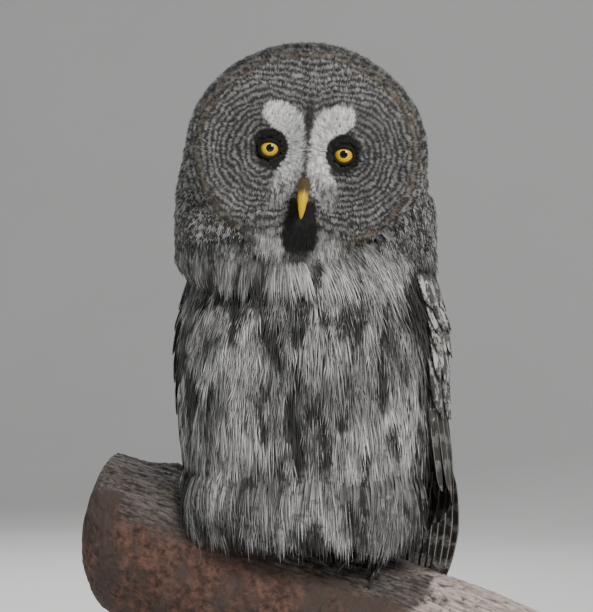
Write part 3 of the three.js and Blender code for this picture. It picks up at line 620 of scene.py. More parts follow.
SKIN_DEPTH = 0.006  # the coat's depth over the skin on the body
turns = np.linspace(0, 2 * np.pi, 64, endpoint=False)
skin_parts = []
tuck = lambda height: np.sqrt(1 - (np.maximum(BELLY_BASE + 0.026 - height, 0) / 0.028) ** 2)
body_rows = []
for height in np.linspace(BELLY_BASE, 0.25, 40):
    row = body_point(height, turns, -SKIN_DEPTH)
    row[:, :2] *= tuck(height)
    body_rows.append(row)
skin_parts.append(closed_grid(body_rows))
skin_parts.append(closed_grid([
    from_head(head_point(height, turns, -0.005)) for height in HEAD_WIDEST + np.append(
        [-0.05, -0.03, -0.015], (CROWN_RISE - 0.004) * np.sin(np.linspace(0, 0.96 * np.pi / 2, 24))
    )
]))
disc_rows = []
for rho in (0.05, 0.12, 0.2, 0.28, 0.36, 0.44, 0.52, 0.6, 0.68, 0.76, 0.84, 0.9, 0.95, 0.985):
    across, up = DISC_HALF_WIDTH * rho * np.cos(turns), DISC_HALF_HEIGHT * rho * np.sin(turns)
    disc_rows.append(from_head(disc_point(across, up, -0.003)))
disc_rows.append(from_head(np.stack([0.07 * np.cos(turns), -0.04 + 0 * turns, 0.062 * np.sin(turns)], -1)))
skin_parts.append(closed_grid(disc_rows))


def tube_rows(points, radii, sides=20, flat=1.0):
    points = np.array(points)
    rows = []
    for j, point in enumerate(points):
        along = points[min(j + 1, len(points) - 1)] - points[max(j - 1, 0)]
        along /= np.linalg.norm(along)
        across = np.array([1, 0, 0]) - along * along[0]
        across /= np.linalg.norm(across)
        up = np.cross(along, across)
        turn = np.linspace(0, 2 * np.pi, sides, endpoint=False)[:, None]
        rows.append(point + radii[j] * (np.cos(turn) * across + flat * np.sin(turn) * up))
    return rows


FEET_SPREAD = 0.036
TOE_TURNS = np.radians([-15, 14, 166, 196])
TOE_LENGTHS = np.array([38, 40, 27, 28]) / 1000


def toe_path(side, toe, shares, heights):
    turn = side * TOE_TURNS[toe]
    shares = np.array(shares)
    return perch_point(
        side * FEET_SPREAD + TOE_LENGTHS[toe] * shares * np.sin(turn),
        0.003 - TOE_LENGTHS[toe] * shares * np.cos(turn), np.array(heights) / 1000,
    )


for side in (1, -1):
    hip = np.array([side * 0.034, 0.004, PERCH_TOP + 0.05])
    ankle = perch_point(np.array(side * FEET_SPREAD), np.array(0.003), np.array(0.008))
    skin_parts.append(closed_grid(tube_rows([hip, (hip + ankle) / 2, ankle], [0.016, 0.013, 0.011])))
    for toe in range(4):
        skin_parts.append(closed_grid(tube_rows(
            toe_path(side, toe, [-0.05, 0.25, 0.5, 0.75, 0.9, 1.0], [7.5, 7.5, 7.2, 6.4, 5.6, 5]),
            [0.0068, 0.0068, 0.0068, 0.006, 0.0052, 0.0034], 14,
        )))

merged = bmesh.new()
for points, faces in skin_parts:
    verts = [merged.verts.new(p) for p in points]
    for face in faces:
        merged.faces.new([verts[i] for i in face])
bmesh.ops.recalc_face_normals(merged, faces=merged.faces)
skin_mesh = bpy.data.meshes.new("skin")
merged.to_mesh(skin_mesh)
merged.free()
skin = bpy.data.objects.new("skin", skin_mesh)
bpy.context.scene.collection.objects.link(skin)
remesh = skin.modifiers.new("one_surface", "REMESH")
remesh.mode = "VOXEL"
remesh.voxel_size = 0.0028
smooth = skin.modifiers.new("soften", "SMOOTH")
smooth.factor = 0.5
smooth.iterations = 6
bpy.context.view_layer.update()
made = bpy.data.meshes.new_from_object(skin.evaluated_get(bpy.context.evaluated_depsgraph_get()))
skin.modifiers.clear()
skin.data = made
smooth_shaded(skin)

# The unwrap has a square for the body and one for the head, each by turn and height, and one for the face.
# Every feather's own patch on the coat's map sits at its root's place on this unwrap.


def body_uv(points):
    turn = np.arctan2(points[:, 0], -points[:, 1]) / (2 * np.pi) + 0.5
    rise = np.clip((points[:, 2] - PERCH_TOP + 0.23) / 0.47, 0, 1)
    return np.stack([0.01 + 0.98 * turn, 0.01 + 0.45 * rise], -1)


def head_uv(points):
    local = to_head(points)
    turn = np.arctan2(local[:, 0], -local[:, 1]) / (2 * np.pi) + 0.5
    rise = np.clip((local[:, 2] + 0.1) / 0.2, 0, 1)
    return np.stack([0.01 + 0.48 * turn, 0.5 + 0.48 * rise], -1)


def face_uv(points):
    local = to_head(points)
    return np.stack([
        0.75 + 0.22 * np.clip(local[:, 0] / 0.1, -1, 1), 0.745 + 0.22 * np.clip(local[:, 2] / 0.1, -1, 1)
    ], -1)


def write_uv(mesh, values):
    layer = mesh.uv_layers.new(name="OFBake")
    corners = np.empty(len(mesh.loops), np.int32)
    mesh.loops.foreach_get("vertex_index", corners)
    layer.data.foreach_set("uv", values[corners].astype(np.float32).ravel())


places = np.empty(len(skin.data.vertices) * 3, np.float32)
skin.data.vertices.foreach_get("co", places)
places = places.reshape(-1, 3)
HEAD_FROM = PERCH_TOP + 0.214  # the height where the head's own markings begin
FACE_SKIN_HALF_WIDTH, FACE_SKIN_HALF_HEIGHT, FACE_SKIN_DEPTH = 0.088, 0.079, -0.05


def on_face(points):
    """Whether points lie on the disc or just over its rim."""
    local = to_head(points)
    rho = np.hypot(local[:, 0] / FACE_SKIN_HALF_WIDTH, local[:, 2] / FACE_SKIN_HALF_HEIGHT)
    return (rho < 1) & (local[:, 1] < FACE_SKIN_DEPTH)


skin_uv = np.where(places[:, 2:] > HEAD_FROM, head_uv(places), body_uv(places))
write_uv(skin.data, np.where(on_face(places)[:, None], face_uv(places), skin_uv))


# Plumage colours
# One set of markings shared by skin and feathers: fine dark rings round each eye on grey, pale crescents set
# back to back between the eyes, a black bib with a pale tuft on each side, and dark streaks and bars down the
# body. In life the colour lies in the feathers themselves.
PALE = (0.66, 0.655, 0.645, 1)
ASH = (0.24, 0.237, 0.231, 1)
DARK = (0.022, 0.0208, 0.0196, 1)


def in_head_frame(kind, vector):
    """A place as across, depth and height in the head's own frame."""
    moved = kind.vector_math("SUBTRACT", vector, tuple(head_middle))
    return kind.mapped(kind.mapped(moved, rotation=(0, 0, -HEAD_TURN)), rotation=(0, -HEAD_ROLL, 0))


# The pale crescents, one beside each eye: at each height in mm, how far the middle of the pale is from the
# face's midline, and half its width.
CRESCENT = [
    (-50, 24, 0), (-45, 23, 3), (-38, 21, 6.5), (-27, 16.5, 10), (-12, 11.5, 8.8), (0, 9.4, 8),
    (9, 10.4, 8.2), (18, 18, 13), (24, 21, 14.5), (30, 23, 12.5), (35, 26, 7), (39, 28, 0),
]
CRESCENT_LOW, CRESCENT_HIGH, CRESCENT_UNIT = -0.050, 0.040, 0.040
RING_PITCH = 0.0043


def face_markings(kind, place):
    """The face: dark rings, pale crescents, black round the eyes and in the bib, and a fine brown rim."""
    local = in_head_frame(kind, place)
    wander = kind.noise(local, 70, 3, 0.6)
    speckle = kind.noise(local, 520, 2, 0.6)
    ragged = kind.times(kind.minus(kind.noise(local, 230, 3, 0.7), 0.5), 0.013)
    x, y, z = kind.split(local)
    across = kind.math("ABSOLUTE", x)
    rounded = kind.math("SQRT", kind.plus(kind.times(x, x), 0.00009))
    from_eye = kind.distance(kind.minus(rounded, 0.033), 0.0, kind.times(z, 0.95))
    wavy = kind.plus(from_eye, kind.times(kind.minus(wander, 0.5), 0.011))
    rings = kind.math("SINE", kind.times(wavy, 2 * math.pi / RING_PITCH))
    unrest = kind.ramp(from_eye, 0.025, 0.06, 4.0, 7.0)
    broken = kind.times(kind.minus(speckle, 0.5), unrest)
    rings = kind.ramp(kind.plus(rings, broken), -0.8, 1.1)
    light = kind.mix(kind.ramp(from_eye, 0.02, 0.06), (0.25, 0.247, 0.24, 1), (0.33, 0.325, 0.316, 1))
    face = kind.mix(rings, (0.045, 0.043, 0.041, 1), light)
    x_share, z_share = kind.math("DIVIDE", x, DISC_HALF_WIDTH), kind.math("DIVIDE", z, DISC_HALF_HEIGHT)
    rho = kind.distance(x_share, 0.0, z_share)
    on_rim = kind.times(kind.ramp(rho, 0.94, 0.97), kind.ramp(rho, 1.035, 1.005))
    rim_fleck = kind.ramp(kind.noise(local, 300, 2, 0.7), 0.47, 0.6)
    rim_colour = kind.mix(rim_fleck, (0.018, 0.014, 0.012, 1), (0.19, 0.14, 0.1, 1))
    face = kind.mix(kind.times(on_rim, 0.65), face, rim_colour)
    ruff_fleck = kind.ramp(kind.noise(local, 380, 3, 0.65), 0.46, 0.57)
    ruff_pale = kind.mix(kind.ramp(z, -0.03, 0.06), (0.3, 0.295, 0.285, 1), (0.15, 0.146, 0.14, 1))
    ruff_colour = kind.mix(ruff_fleck, (0.024, 0.022, 0.021, 1), ruff_pale)
    face = kind.mix(kind.ramp(rho, 1.01, 1.035), face, ruff_colour)
    # Black round each eye, widest on its inner side.
    beside_eye = kind.minus(across, EYE_SPREAD - 0.0015)
    socket = kind.distance(beside_eye, 0.0, kind.times(kind.minus(z, 0.0008), 0.86))
    blackness = kind.ramp(kind.plus(socket, kind.times(ragged, 0.5)), 0.0155, 0.0115)
    face = kind.mix(blackness, face, (0.007, 0.0066, 0.0063, 1))
    # Crescents, whitest above and softer below.
    rise = kind.ramp(z, CRESCENT_LOW, CRESCENT_HIGH)
    span = CRESCENT_HIGH - CRESCENT_LOW
    ease = lambda t: t * t * (3 - 2 * t)
    keys = [ease((height / 1000 - CRESCENT_LOW) / span) for height, _, _ in CRESCENT]
    middle, width = (
        kind.curve(rise, [(key, row[column] / 1000 / CRESCENT_UNIT) for key, row in zip(keys, CRESCENT)])
        for column in (1, 2)
    )
    off = kind.math("ABSOLUTE", kind.minus(across, kind.times(middle, CRESCENT_UNIT)))
    inside = kind.minus(kind.times(width, CRESCENT_UNIT), off)
    crescent = kind.ramp(kind.plus(inside, kind.times(ragged, 1.1)), -0.0024, 0.0014)
    crescent = kind.times(crescent, kind.ramp(socket, 0.0108, 0.0125))
    above = kind.ramp(z, CRESCENT_HIGH - 0.0015, CRESCENT_HIGH - 0.006)
    crescent = kind.times(crescent, kind.times(above, kind.ramp(z, CRESCENT_LOW + 0.002, -0.04)))
    white = kind.mix(kind.ramp(z, -0.04, -0.01), (0.36, 0.356, 0.35, 1), (0.8, 0.795, 0.78, 1))
    bristles = kind.noise(kind.join(x, y, kind.times(z, 0.2)), 420, 3, 0.6)
    bristly = kind.times(kind.ramp(bristles, 0.46, 0.6), kind.ramp(z, 0.004, -0.03, 0.05, 0.8))
    white = kind.mix(bristly, white, (0.07, 0.068, 0.066, 1))
    face = kind.mix(crescent, face, white)
    seam_width = kind.ramp(z, -0.03, 0.034, 0.0012, 0.0034)
    seam = kind.minus(kind.math("ABSOLUTE", kind.plus(x, kind.times(ragged, 0.2))), seam_width)
    seam = kind.times(kind.ramp(seam, 0.001, -0.0012), kind.ramp(z, 0.044, 0.03))
    face = kind.mix(kind.times(seam, 0.85), face, (0.03, 0.028, 0.027, 1))
    # The black bib starts below the beak, widens a little and frays out, with a pale tuft on each side.
    low = kind.minus(-0.036, z)
    bib_edge = kind.math("MULTIPLY_ADD", low, 0.12, 0.0112)
    bib_edge = kind.plus(bib_edge, kind.ramp(low, 0.022, 0.046, 0, -0.006))
    bib = kind.ramp(kind.minus(kind.plus(across, kind.times(ragged, 0.5)), bib_edge), 0.0016, -0.0016)
    foot = kind.ramp(kind.plus(low, kind.times(ragged, 1.6)), 0.047, 0.036)
    bib = kind.times(bib, kind.times(kind.ramp(low, -0.004, 0.004), foot))
    tuft = kind.times(kind.ramp(z, -0.059, -0.068), kind.ramp(kind.plus(across, ragged), 0.037, 0.028))
    tuft_bristles = kind.ramp(bristles, 0.42, 0.6, 0.0, 0.7)
    tuft_colour = kind.mix(tuft_bristles, (0.66, 0.655, 0.64, 1), (0.1, 0.098, 0.094, 1))
    tuft_colour = kind.mix(kind.ramp(across, 0.012, 0.005), tuft_colour, (0.09, 0.088, 0.085, 1))
    face = kind.mix(kind.times(tuft, 0.9), face, tuft_colour)
    return kind.mix(bib, face, (0.0065, 0.0062, 0.006, 1))


def body_markings(kind, place):
    """Soft dark blotches that run down the breast and belly on pale grey, with fine wavy bars low down."""
    x, y, z = kind.split(place)
    drift = kind.noise(place, 16, 3)
    streaks = kind.noise(kind.join(x, y, kind.times(z, 0.3)), 54, 4, 0.6, 0.9)
    fine = kind.noise(kind.join(x, y, kind.times(z, 0.14)), 260, 3, 0.6)
    bars = kind.noise(kind.join(x, y, kind.times(z, 2.6)), 100, 3, 0.6, 0.5)
    lowness = kind.ramp(z, PERCH_TOP + 0.13, PERCH_TOP + 0.02)
    upper = kind.ramp(z, PERCH_TOP + 0.14, PERCH_TOP + 0.21, 0, 0.03)
    flank = kind.ramp(kind.math("ABSOLUTE", x), 0.06, 0.1, 0, 0.035)
    level = kind.plus(streaks, kind.plus(upper, flank))
    barred = kind.times(kind.ramp(bars, 0.52, 0.63), kind.math("MULTIPLY_ADD", lowness, 0.5, 0.12))
    dark = kind.plus(kind.ramp(level, 0.485, 0.6), barred, clamp=True)
    base = kind.mix(kind.ramp(drift, 0.38, 0.62), ASH, PALE)
    base = kind.mix(kind.ramp(fine, 0.42, 0.62, 0.0, 0.45), base, (0.11, 0.108, 0.105, 1))
    return kind.mix(kind.times(dark, 0.93), base, DARK)


def crown_markings(kind, place):
    """Dark crown finely flecked with grey, paler and streakier down the cheeks and nape."""
    z = kind.split(in_head_frame(kind, place))[2]
    flecks = kind.noise(place, 330, 3, 0.65, 0.4)
    broad = kind.noise(place, 60, 3)
    crown = kind.ramp(z, 0.03, 0.075)
    dark = kind.mix(kind.ramp(broad, 0.35, 0.65), (0.022, 0.021, 0.02, 1), (0.05, 0.048, 0.045, 1))
    pale = kind.mix(crown, (0.3, 0.296, 0.288, 1), (0.17, 0.167, 0.16, 1))
    threshold = kind.plus(flecks, kind.times(crown, -0.045))
    return kind.mix(kind.ramp(threshold, 0.46, 0.56), dark, pale)


def mantle_markings(kind, place):
    """Dark brown-grey back and wing coverts with whitish blotches and wavy bars."""
    x, y, z = kind.split(place)
    blotch = kind.noise(kind.join(x, y, kind.times(z, 0.75)), 88, 4, 0.62, 0.8)
    bars = kind.noise(kind.join(x, y, kind.times(z, 2.6)), 120, 3, 0.6, 0.5)
    pale = kind.plus(kind.ramp(blotch, 0.5, 0.58), kind.times(kind.ramp(bars, 0.54, 0.64), 0.5), clamp=True
    )
    dark = kind.mix(kind.noise(place, 30, 2), (0.026, 0.0245, 0.022, 1), (0.07, 0.066, 0.06, 1))
    return kind.mix(kind.times(pale, 0.88), dark, (0.5, 0.49, 0.47, 1))


def collar_markings(kind, place):
    """The head's flecks above, which run out into the breast's streaks below."""
    height = kind.split(place)[2]
    lower, upper = body_markings(kind, place), crown_markings(kind, place)
    return kind.mix(kind.ramp(height, PERCH_TOP + 0.205, PERCH_TOP + 0.245), lower, upper)


def shared_markings(make):
    """A group of nodes that turns a place into a colour, for every finish that shows these markings."""
    tree = bpy.data.node_groups.new(make.__name__, "ShaderNodeTree")
    tree.interface.new_socket("Place", in_out="INPUT", socket_type="NodeSocketVector")
    tree.interface.new_socket("Color", in_out="OUTPUT", socket_type="NodeSocketColor")
    colour = make(Nodes(tree), tree.nodes.new("NodeGroupInput").outputs["Place"])
    tree.links.new(colour, tree.nodes.new("NodeGroupOutput").inputs["Color"])
    return tree


body_colours = shared_markings(body_markings)
crown_colours = shared_markings(crown_markings)
face_colours = shared_markings(face_markings)
mantle_colours = shared_markings(mantle_markings)
collar_colours = shared_markings(collar_markings)


def plumage(name, markings, depth_shade=0.55, root_share=0.6, shaft=0.0):
    """A feather finish: markings, varied a little from feather to feather and darker towards the roots."""
    kind = Material(name, 0.74, root_share=root_share)
    kind.set(sheen_weight=0.2, sheen_roughness=0.5, specular_ior_level=0.3)
    colour = kind.group(markings, Place=kind.place())["Color"]
    tone = kind.ramp(kind.attribute("tone"), 0.0, 1.0, 0.7, 1.25)
    along = kind.ramp(kind.attribute("along"), 0.0, 0.75, 1.0 - depth_shade, 1.0)
    shade = kind.times(tone, along)
    if shaft:
        shade = kind.times(shade, kind.ramp(kind.attribute("aside"), 0.1, 0.42, 1.0 - shaft, 1.08))
    kind.colour(kind.mix(1.0, colour, kind.join(shade, shade, shade), "MULTIPLY"))
    return kind.material


def bare_skin(name, markings):
    kind = Material(name, 0.9)
    colour = kind.group(markings, Place=kind.place())["Color"]
    # The skin shows the markings, painted darker as the shade deep between the feathers where it shows
    # through.
    kind.colour(kind.mix(0.35, colour, (0.02, 0.02, 0.02, 1)))
    return kind.material


for markings in (body_colours, crown_colours, face_colours, mantle_colours):
    skin.data.materials.append(bare_skin("skin_" + markings.name, markings))
centres = np.empty(len(skin.data.polygons) * 3, np.float32)
skin.data.polygons.foreach_get("center", centres)
centres = centres.reshape(-1, 3)
behind = np.abs(np.arctan2(centres[:, 0], -centres[:, 1])) > math.radians(80)
behind &= centres[:, 2] > PERCH_TOP + 0.03
numbers = np.where(centres[:, 2] > HEAD_FROM, 1, np.where(behind, 3, 0))
numbers[on_face(centres)] = 2
skin.data.polygons.foreach_set("material_index", numbers.astype(np.int32))
skin.data.update()
flesh = ["head", "facial_disc", "neck", "torso", "leg_left", "leg_right", "foot_left", "foot_right"]
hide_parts(*flesh)
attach(skin, "root")


# Feather coat
# Soft body feathers and down, each a small bundle of fine barbs rooted in the skin. They are set out in rows,
# lie down the body over one another, and their tips draw together into loose locks.
def barb(left, width, start, end, lean):
    """One closed barb of a bundle: its outline at three places, a ridge above, and a flat underside."""
    middle = (start + end) / 2
    root, bend, tip = left, left + lean * 0.45, left + lean
    points = [
        (root - width / 2, start, 0), (root + width / 2, start, 0), (bend + width * 0.42, middle, 0),
        (bend - width * 0.42, middle, 0), (tip, end, 0), (bend, middle * 0.9, width * 0.5),
    ]
    faces = [(0, 2, 1), (0, 3, 2), (3, 4, 2), (0, 1, 5), (1, 2, 5), (2, 4, 5), (4, 3, 5), (3, 0, 5)]
    return points, faces


def long_barb(left, width, start, end, lean):
    """A closed barb with one more bend, for long feathers."""
    stations = [(left, start, 1.0), (left + lean * 0.3, start + (end - start) * 0.36, 0.95),
                (left + lean * 0.68, start + (end - start) * 0.7, 0.7)]
    points = []
    for x, y, share in stations:
        points += [(x - width * share / 2, y, 0), (x + width * share / 2, y, 0)]
    points += [(left + lean, end, 0)]
    points += [(stations[1][0], stations[1][1], width * 0.45), (stations[2][0], stations[2][1], width * 0.35)]
    faces = [
        (0, 3, 1), (0, 2, 3), (2, 5, 3), (2, 4, 5), (4, 6, 5), (0, 1, 7), (1, 3, 7), (2, 0, 7),
        (3, 5, 8), (3, 8, 7), (7, 8, 2), (8, 4, 2), (5, 6, 8), (6, 4, 8),
    ]
    return points, faces


def bundle(name, count, fan, seed, make, barb_width=0.2, ragged=0.25):
    """A feather of unit length and about unit width, as a fan of barbs, with each point's place on it."""
    rng = np.random.default_rng(seed)
    points, faces = [], []
    for i in range(count):
        across = 2 * i / (count - 1) - 1
        reach = 1 - ragged * rng.uniform(0, 1) - 0.16 * abs(across)
        lean = across * fan * rng.uniform(0.75, 1.1)
        more, their = make(across * 0.2, barb_width, 0.12 * abs(across), reach, lean)
        faces += [tuple(n + len(points) for n in face) for face in their]
        points += [(x, y, z + 0.012 * (i % 2)) for x, y, z in more]
    piece = mesh_object(name, points, faces)
    places = np.array(points)
    along, aside = np.clip(places[:, 1], 0, 1), np.clip(np.abs(places[:, 0]) * 2, 0, 1)
    for key, values in (("along", along), ("aside", aside)):
        attribute = piece.data.attributes.new(key, "FLOAT", "POINT")
        attribute.data.foreach_set("value", values.astype(np.float32))
    patch = piece.data.attributes.new("patch", "FLOAT_VECTOR", "POINT")
    spot = np.stack([places[:, 0], places[:, 1] - 0.5, 0 * places[:, 0]], -1)
    patch.data.foreach_set("vector", spot.astype(np.float32).ravel())
    bpy.context.scene.collection.objects.unlink(piece)
    return piece


down_tuft = bundle("down_tuft", 3, 0.34, 1, barb, 0.42, 0.3)
body_feather = bundle("body_feather", 9, 0.42, 2, barb, 0.17, 0.35)
silky_feather = bundle("silky_feather", 7, 0.3, 3, long_barb, 0.12, 0.45)

PATCH = 0.003  # the size of a feather's patch on the coat's map


def coat_tree():
    tree = bpy.data.node_groups.new("feather_coat", "GeometryNodeTree")
    sockets = {}
    for name, kind in (
        ("Geometry", "NodeSocketGeometry"), ("Feather", "NodeSocketObject"), ("Finish", "NodeSocketMaterial"),
        ("Arch scale", "NodeSocketFloat"), ("Patch size", "NodeSocketFloat"),
    ):
        sockets[name] = tree.interface.new_socket(name, in_out="INPUT", socket_type=kind).identifier
    tree.interface.new_socket("Geometry", in_out="OUTPUT", socket_type="NodeSocketGeometry")
    node, link = tree.nodes.new, tree.links.new
    source, sink = node("NodeGroupInput"), node("NodeGroupOutput")

    def named(name, kind):
        reader = node("GeometryNodeInputNamedAttribute")
        reader.data_type = kind
        reader.inputs["Name"].default_value = name
        return next(s for s in reader.outputs if s.enabled and s.name == "Attribute")

    def arithmetic(operation, a, b):
        made = node("ShaderNodeMath")
        made.operation = operation
        for socket, value in zip(made.inputs, (a, b)):
            if isinstance(value, (int, float)):
                socket.default_value = value
            else:
                link(value, socket)
        return made.outputs[0]

    def scaled(vector, factor):
        made = node("ShaderNodeVectorMath")
        made.operation = "SCALE"
        link(vector, made.inputs[0])
        link(factor, made.inputs["Scale"])
        return made.outputs[0]

    info, instance = node("GeometryNodeObjectInfo"), node("GeometryNodeInstanceOnPoints")
    link(source.outputs["Feather"], info.inputs["Object"])
    link(source.outputs["Geometry"], instance.inputs["Points"])
    link(info.outputs["Geometry"], instance.inputs["Instance"])
    link(named("turn", "FLOAT_VECTOR"), instance.inputs["Rotation"])
    link(named("size", "FLOAT_VECTOR"), instance.inputs["Scale"])
    realize = node("GeometryNodeRealizeInstances")
    link(instance.outputs[0], realize.inputs[0])
    along = named("along", "FLOAT")
    rise = arithmetic("MULTIPLY", arithmetic("MULTIPLY", along, arithmetic("SUBTRACT", 1.0, along)), 4.0)
    arch = arithmetic("MULTIPLY", named("arch", "FLOAT"), source.outputs["Arch scale"])
    arch = arithmetic("MULTIPLY", arch, rise)
    bend = node("GeometryNodeSetPosition")
    link(realize.outputs[0], bend.inputs["Geometry"])
    link(scaled(named("away", "FLOAT_VECTOR"), arch), bend.inputs["Offset"])
    spot = node("ShaderNodeVectorMath")
    spot.operation = "ADD"
    link(named("root_uv", "FLOAT_VECTOR"), spot.inputs[0])
    link(scaled(named("patch", "FLOAT_VECTOR"), source.outputs["Patch size"]), spot.inputs[1])
    store = node("GeometryNodeStoreNamedAttribute")
    store.data_type = "FLOAT2"
    store.domain = "CORNER"
    store.inputs["Name"].default_value = "OFBake"
    link(bend.outputs[0], store.inputs["Geometry"])
    link(spot.outputs[0], next(s for s in store.inputs if s.enabled and s.name == "Value"))
    finish = node("GeometryNodeSetMaterial")
    link(store.outputs[0], finish.inputs["Geometry"])
    link(source.outputs["Finish"], finish.inputs["Material"])
    link(finish.outputs[0], sink.inputs[0])
    return tree, sockets


COAT_TREE, COAT_SOCKETS = coat_tree()


def coat(name, feather, finish, roots, tips, normals, widths, arches, uvs, seed):
    """Grows one feather from each root to its tip, arched away from the body, as one joined mesh."""
    rng = np.random.default_rng(seed)
    count = len(roots)
    along = tips - roots
    length = np.linalg.norm(along, axis=1)
    along /= np.maximum(length, 1e-6)[:, None]
    away = normals - along * np.sum(normals * along, axis=1, keepdims=True)
    away /= np.maximum(np.linalg.norm(away, axis=1), 1e-6)[:, None]
    roll = rng.normal(0, 0.22, count)[:, None]
    across = np.cross(along, away)
    away_rolled = away * np.cos(roll) + across * np.sin(roll)
    across = np.cross(along, away_rolled)
    turns = np.empty((count, 3), np.float32)
    for i in range(count):
        turns[i] = Matrix((across[i], along[i], away_rolled[i])).transposed().to_euler()
    piece = mesh_object(name, roots, [])
    piece.data.clear_geometry()
    piece.data.vertices.add(count)
    piece.data.vertices.foreach_set("co", roots.astype(np.float32).ravel())
    sizes = np.stack([widths, length, widths], -1)
    for key, kind, values in (
        ("turn", "FLOAT_VECTOR", turns), ("size", "FLOAT_VECTOR", sizes), ("away", "FLOAT_VECTOR", away),
        ("root_uv", "FLOAT_VECTOR", np.concatenate([uvs, np.zeros((count, 1))], 1)),
        ("arch", "FLOAT", arches + np.zeros(count)), ("tone", "FLOAT", rng.uniform(0, 1, count)),
        ("root", "FLOAT_VECTOR", roots),
    ):
        attribute = piece.data.attributes.new(key, kind, "POINT")
        field = "vector" if kind == "FLOAT_VECTOR" else "value"
        attribute.data.foreach_set(field, np.asarray(values, np.float32).ravel())
    grow = piece.modifiers.new("grow", "NODES")
    grow.node_group = COAT_TREE
    grow[COAT_SOCKETS["Feather"]] = feather
    grow[COAT_SOCKETS["Finish"]] = finish
    grow[COAT_SOCKETS["Arch scale"]] = 1.0
    grow[COAT_SOCKETS["Patch size"]] = PATCH
    bpy.context.view_layer.update()
    grown = bpy.data.meshes.new_from_object(piece.evaluated_get(bpy.context.evaluated_depsgraph_get()))
    piece.modifiers.clear()
    piece.data = grown
    for key in ("turn", "size", "away", "root_uv", "arch", "patch"):
        attribute = grown.attributes.get(key)
        if attribute:
            grown.attributes.remove(attribute)
    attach(piece, "root")


def rows_over(low, high, left, right, pitch_along, pitch_round, reach, rng):
    """Staggered places over a range of heights and angles, about one pitch apart, and a little uneven."""
    heights, angles = [], []
    for j, height in enumerate(np.arange(low, high, pitch_along)):
        step = pitch_round / reach
        row = np.arange(left + step * 0.5 * (j % 2), right, step)
        heights.append(height + rng.uniform(-0.4, 0.4, len(row)) * pitch_along)
        angles.append(row + rng.uniform(-0.35, 0.35, len(row)) * step)
    return np.concatenate(heights), np.concatenate(angles)


BODY_REACH = 0.1  # about the distance from the body's middle line to its coat
LOCK_SIZE = 0.017
LOCK_DRAW = 0.0032  # how far the tips are drawn sideways into a lock


def lie_down_body(heights, angles, lengths, lift, rng):
    """Roots and tips of feathers that lie down the body, with their tips drawn into loose locks."""
    roots = body_point(heights, angles, -0.004)
    phase = angles * BODY_REACH / LOCK_SIZE * 2 * np.pi + 1.7 * np.sin(heights * 70 + 3 * angles)
    tip_angles = angles - LOCK_DRAW / BODY_REACH * np.sin(phase) + rng.normal(0, 0.018, len(angles))
    tips = body_point(heights - lengths, tip_angles, lift)
    normals = outward(body_point, heights, angles)
    return roots, tips, normals


body_finish = plumage("body_plumage", body_colours, shaft=0.4)
rng = np.random.default_rng(11)
heights, angles = rows_over(
    low=0.03, high=0.218, left=-1.46, right=1.42,
    pitch_along=0.0056, pitch_round=0.0053, reach=BODY_REACH, rng=rng,
)
lengths = np.interp(heights, [0.03, 0.1, 0.16, 0.22], [0.050, 0.047, 0.038, 0.028])
lengths = lengths * rng.uniform(0.7, 1.2, len(heights))
lifts = 0.003 + rng.uniform(-0.0015, 0.0045, len(heights))
roots, tips, normals = lie_down_body(heights, angles, lengths, lifts, rng)
tips = clear_of_perch(tips, 0.004)
half = len(heights) // 2
for word, chosen in (("belly", slice(0, half)), ("breast", slice(half, None))):
    coat(
        "coat_" + word, silky_feather, body_finish, roots[chosen], tips[chosen], normals[chosen],
        widths=rng.uniform(0.009, 0.014, len(heights[chosen])), arches=0.0026,
        uvs=body_uv(roots[chosen]), seed=21,
    )


# Belly fringe
# Long loose belly feathers that hang past the feet, over the branch's front. They are rooted low in the
# belly's skin and end in an uneven line of points.
FRINGE_LOCK = 0.013
rng = np.random.default_rng(12)
count = 1100
angles = rng.uniform(-1.3, 1.24, count)
root_heights = rng.uniform(0.022, 0.056, count)
roots = body_point(root_heights, angles, -0.005)
normals = outward(body_point, root_heights, angles)
lock_turns = angles * BODY_REACH / FRINGE_LOCK * 2 * np.pi
locks = np.sin(lock_turns + 2 * np.sin(angles * 5))
tip_heights = -0.024 - 0.05 * roots[:, 0] + 0.004 * locks + rng.normal(0, 0.004, count)
tip_heights = tip_heights + (root_heights - 0.022) * 0.5
tips = roots + normals * 0.003
tips[:, 0] += -0.003 * np.cos(lock_turns) + rng.normal(0, 0.002, count)
tips[:, 1] = np.where(np.abs(angles) < 1.0, np.minimum(tips[:, 1], -0.066), tips[:, 1])
tips[:, 2] = PERCH_TOP + tip_heights
tips = clear_of_perch(tips, 0.0035)
coat(
    "coat_fringe", silky_feather, body_finish, roots, tips, normals,
    widths=rng.uniform(0.009, 0.013, count), arches=rng.uniform(0.004, 0.011, count),
    uvs=body_uv(roots), seed=22,
)


# Face
# Short dense feathers that spread from each eye over the disc. Those between the eyes stand up a little, and
# the black bib under the beak and the pale tufts beside it hang longer. All are rooted in the face's skin.
face_finish = plumage("face_plumage", face_colours, 0.35, 0.45)


def on_disc(across, up, out=0.0):
    return from_head(disc_point(across, up, out))


def disc_normal(across, up):
    step = 5e-4
    a = disc_point(across + step, up) - disc_point(across - step, up)
    b = disc_point(across, up + step) - disc_point(across, up - step)
    normal = np.cross(b, a)
    normal /= np.linalg.norm(normal, axis=1, keepdims=True)
    normal *= -np.sign(normal[:, 1:2])
    return normal @ head_turn.T


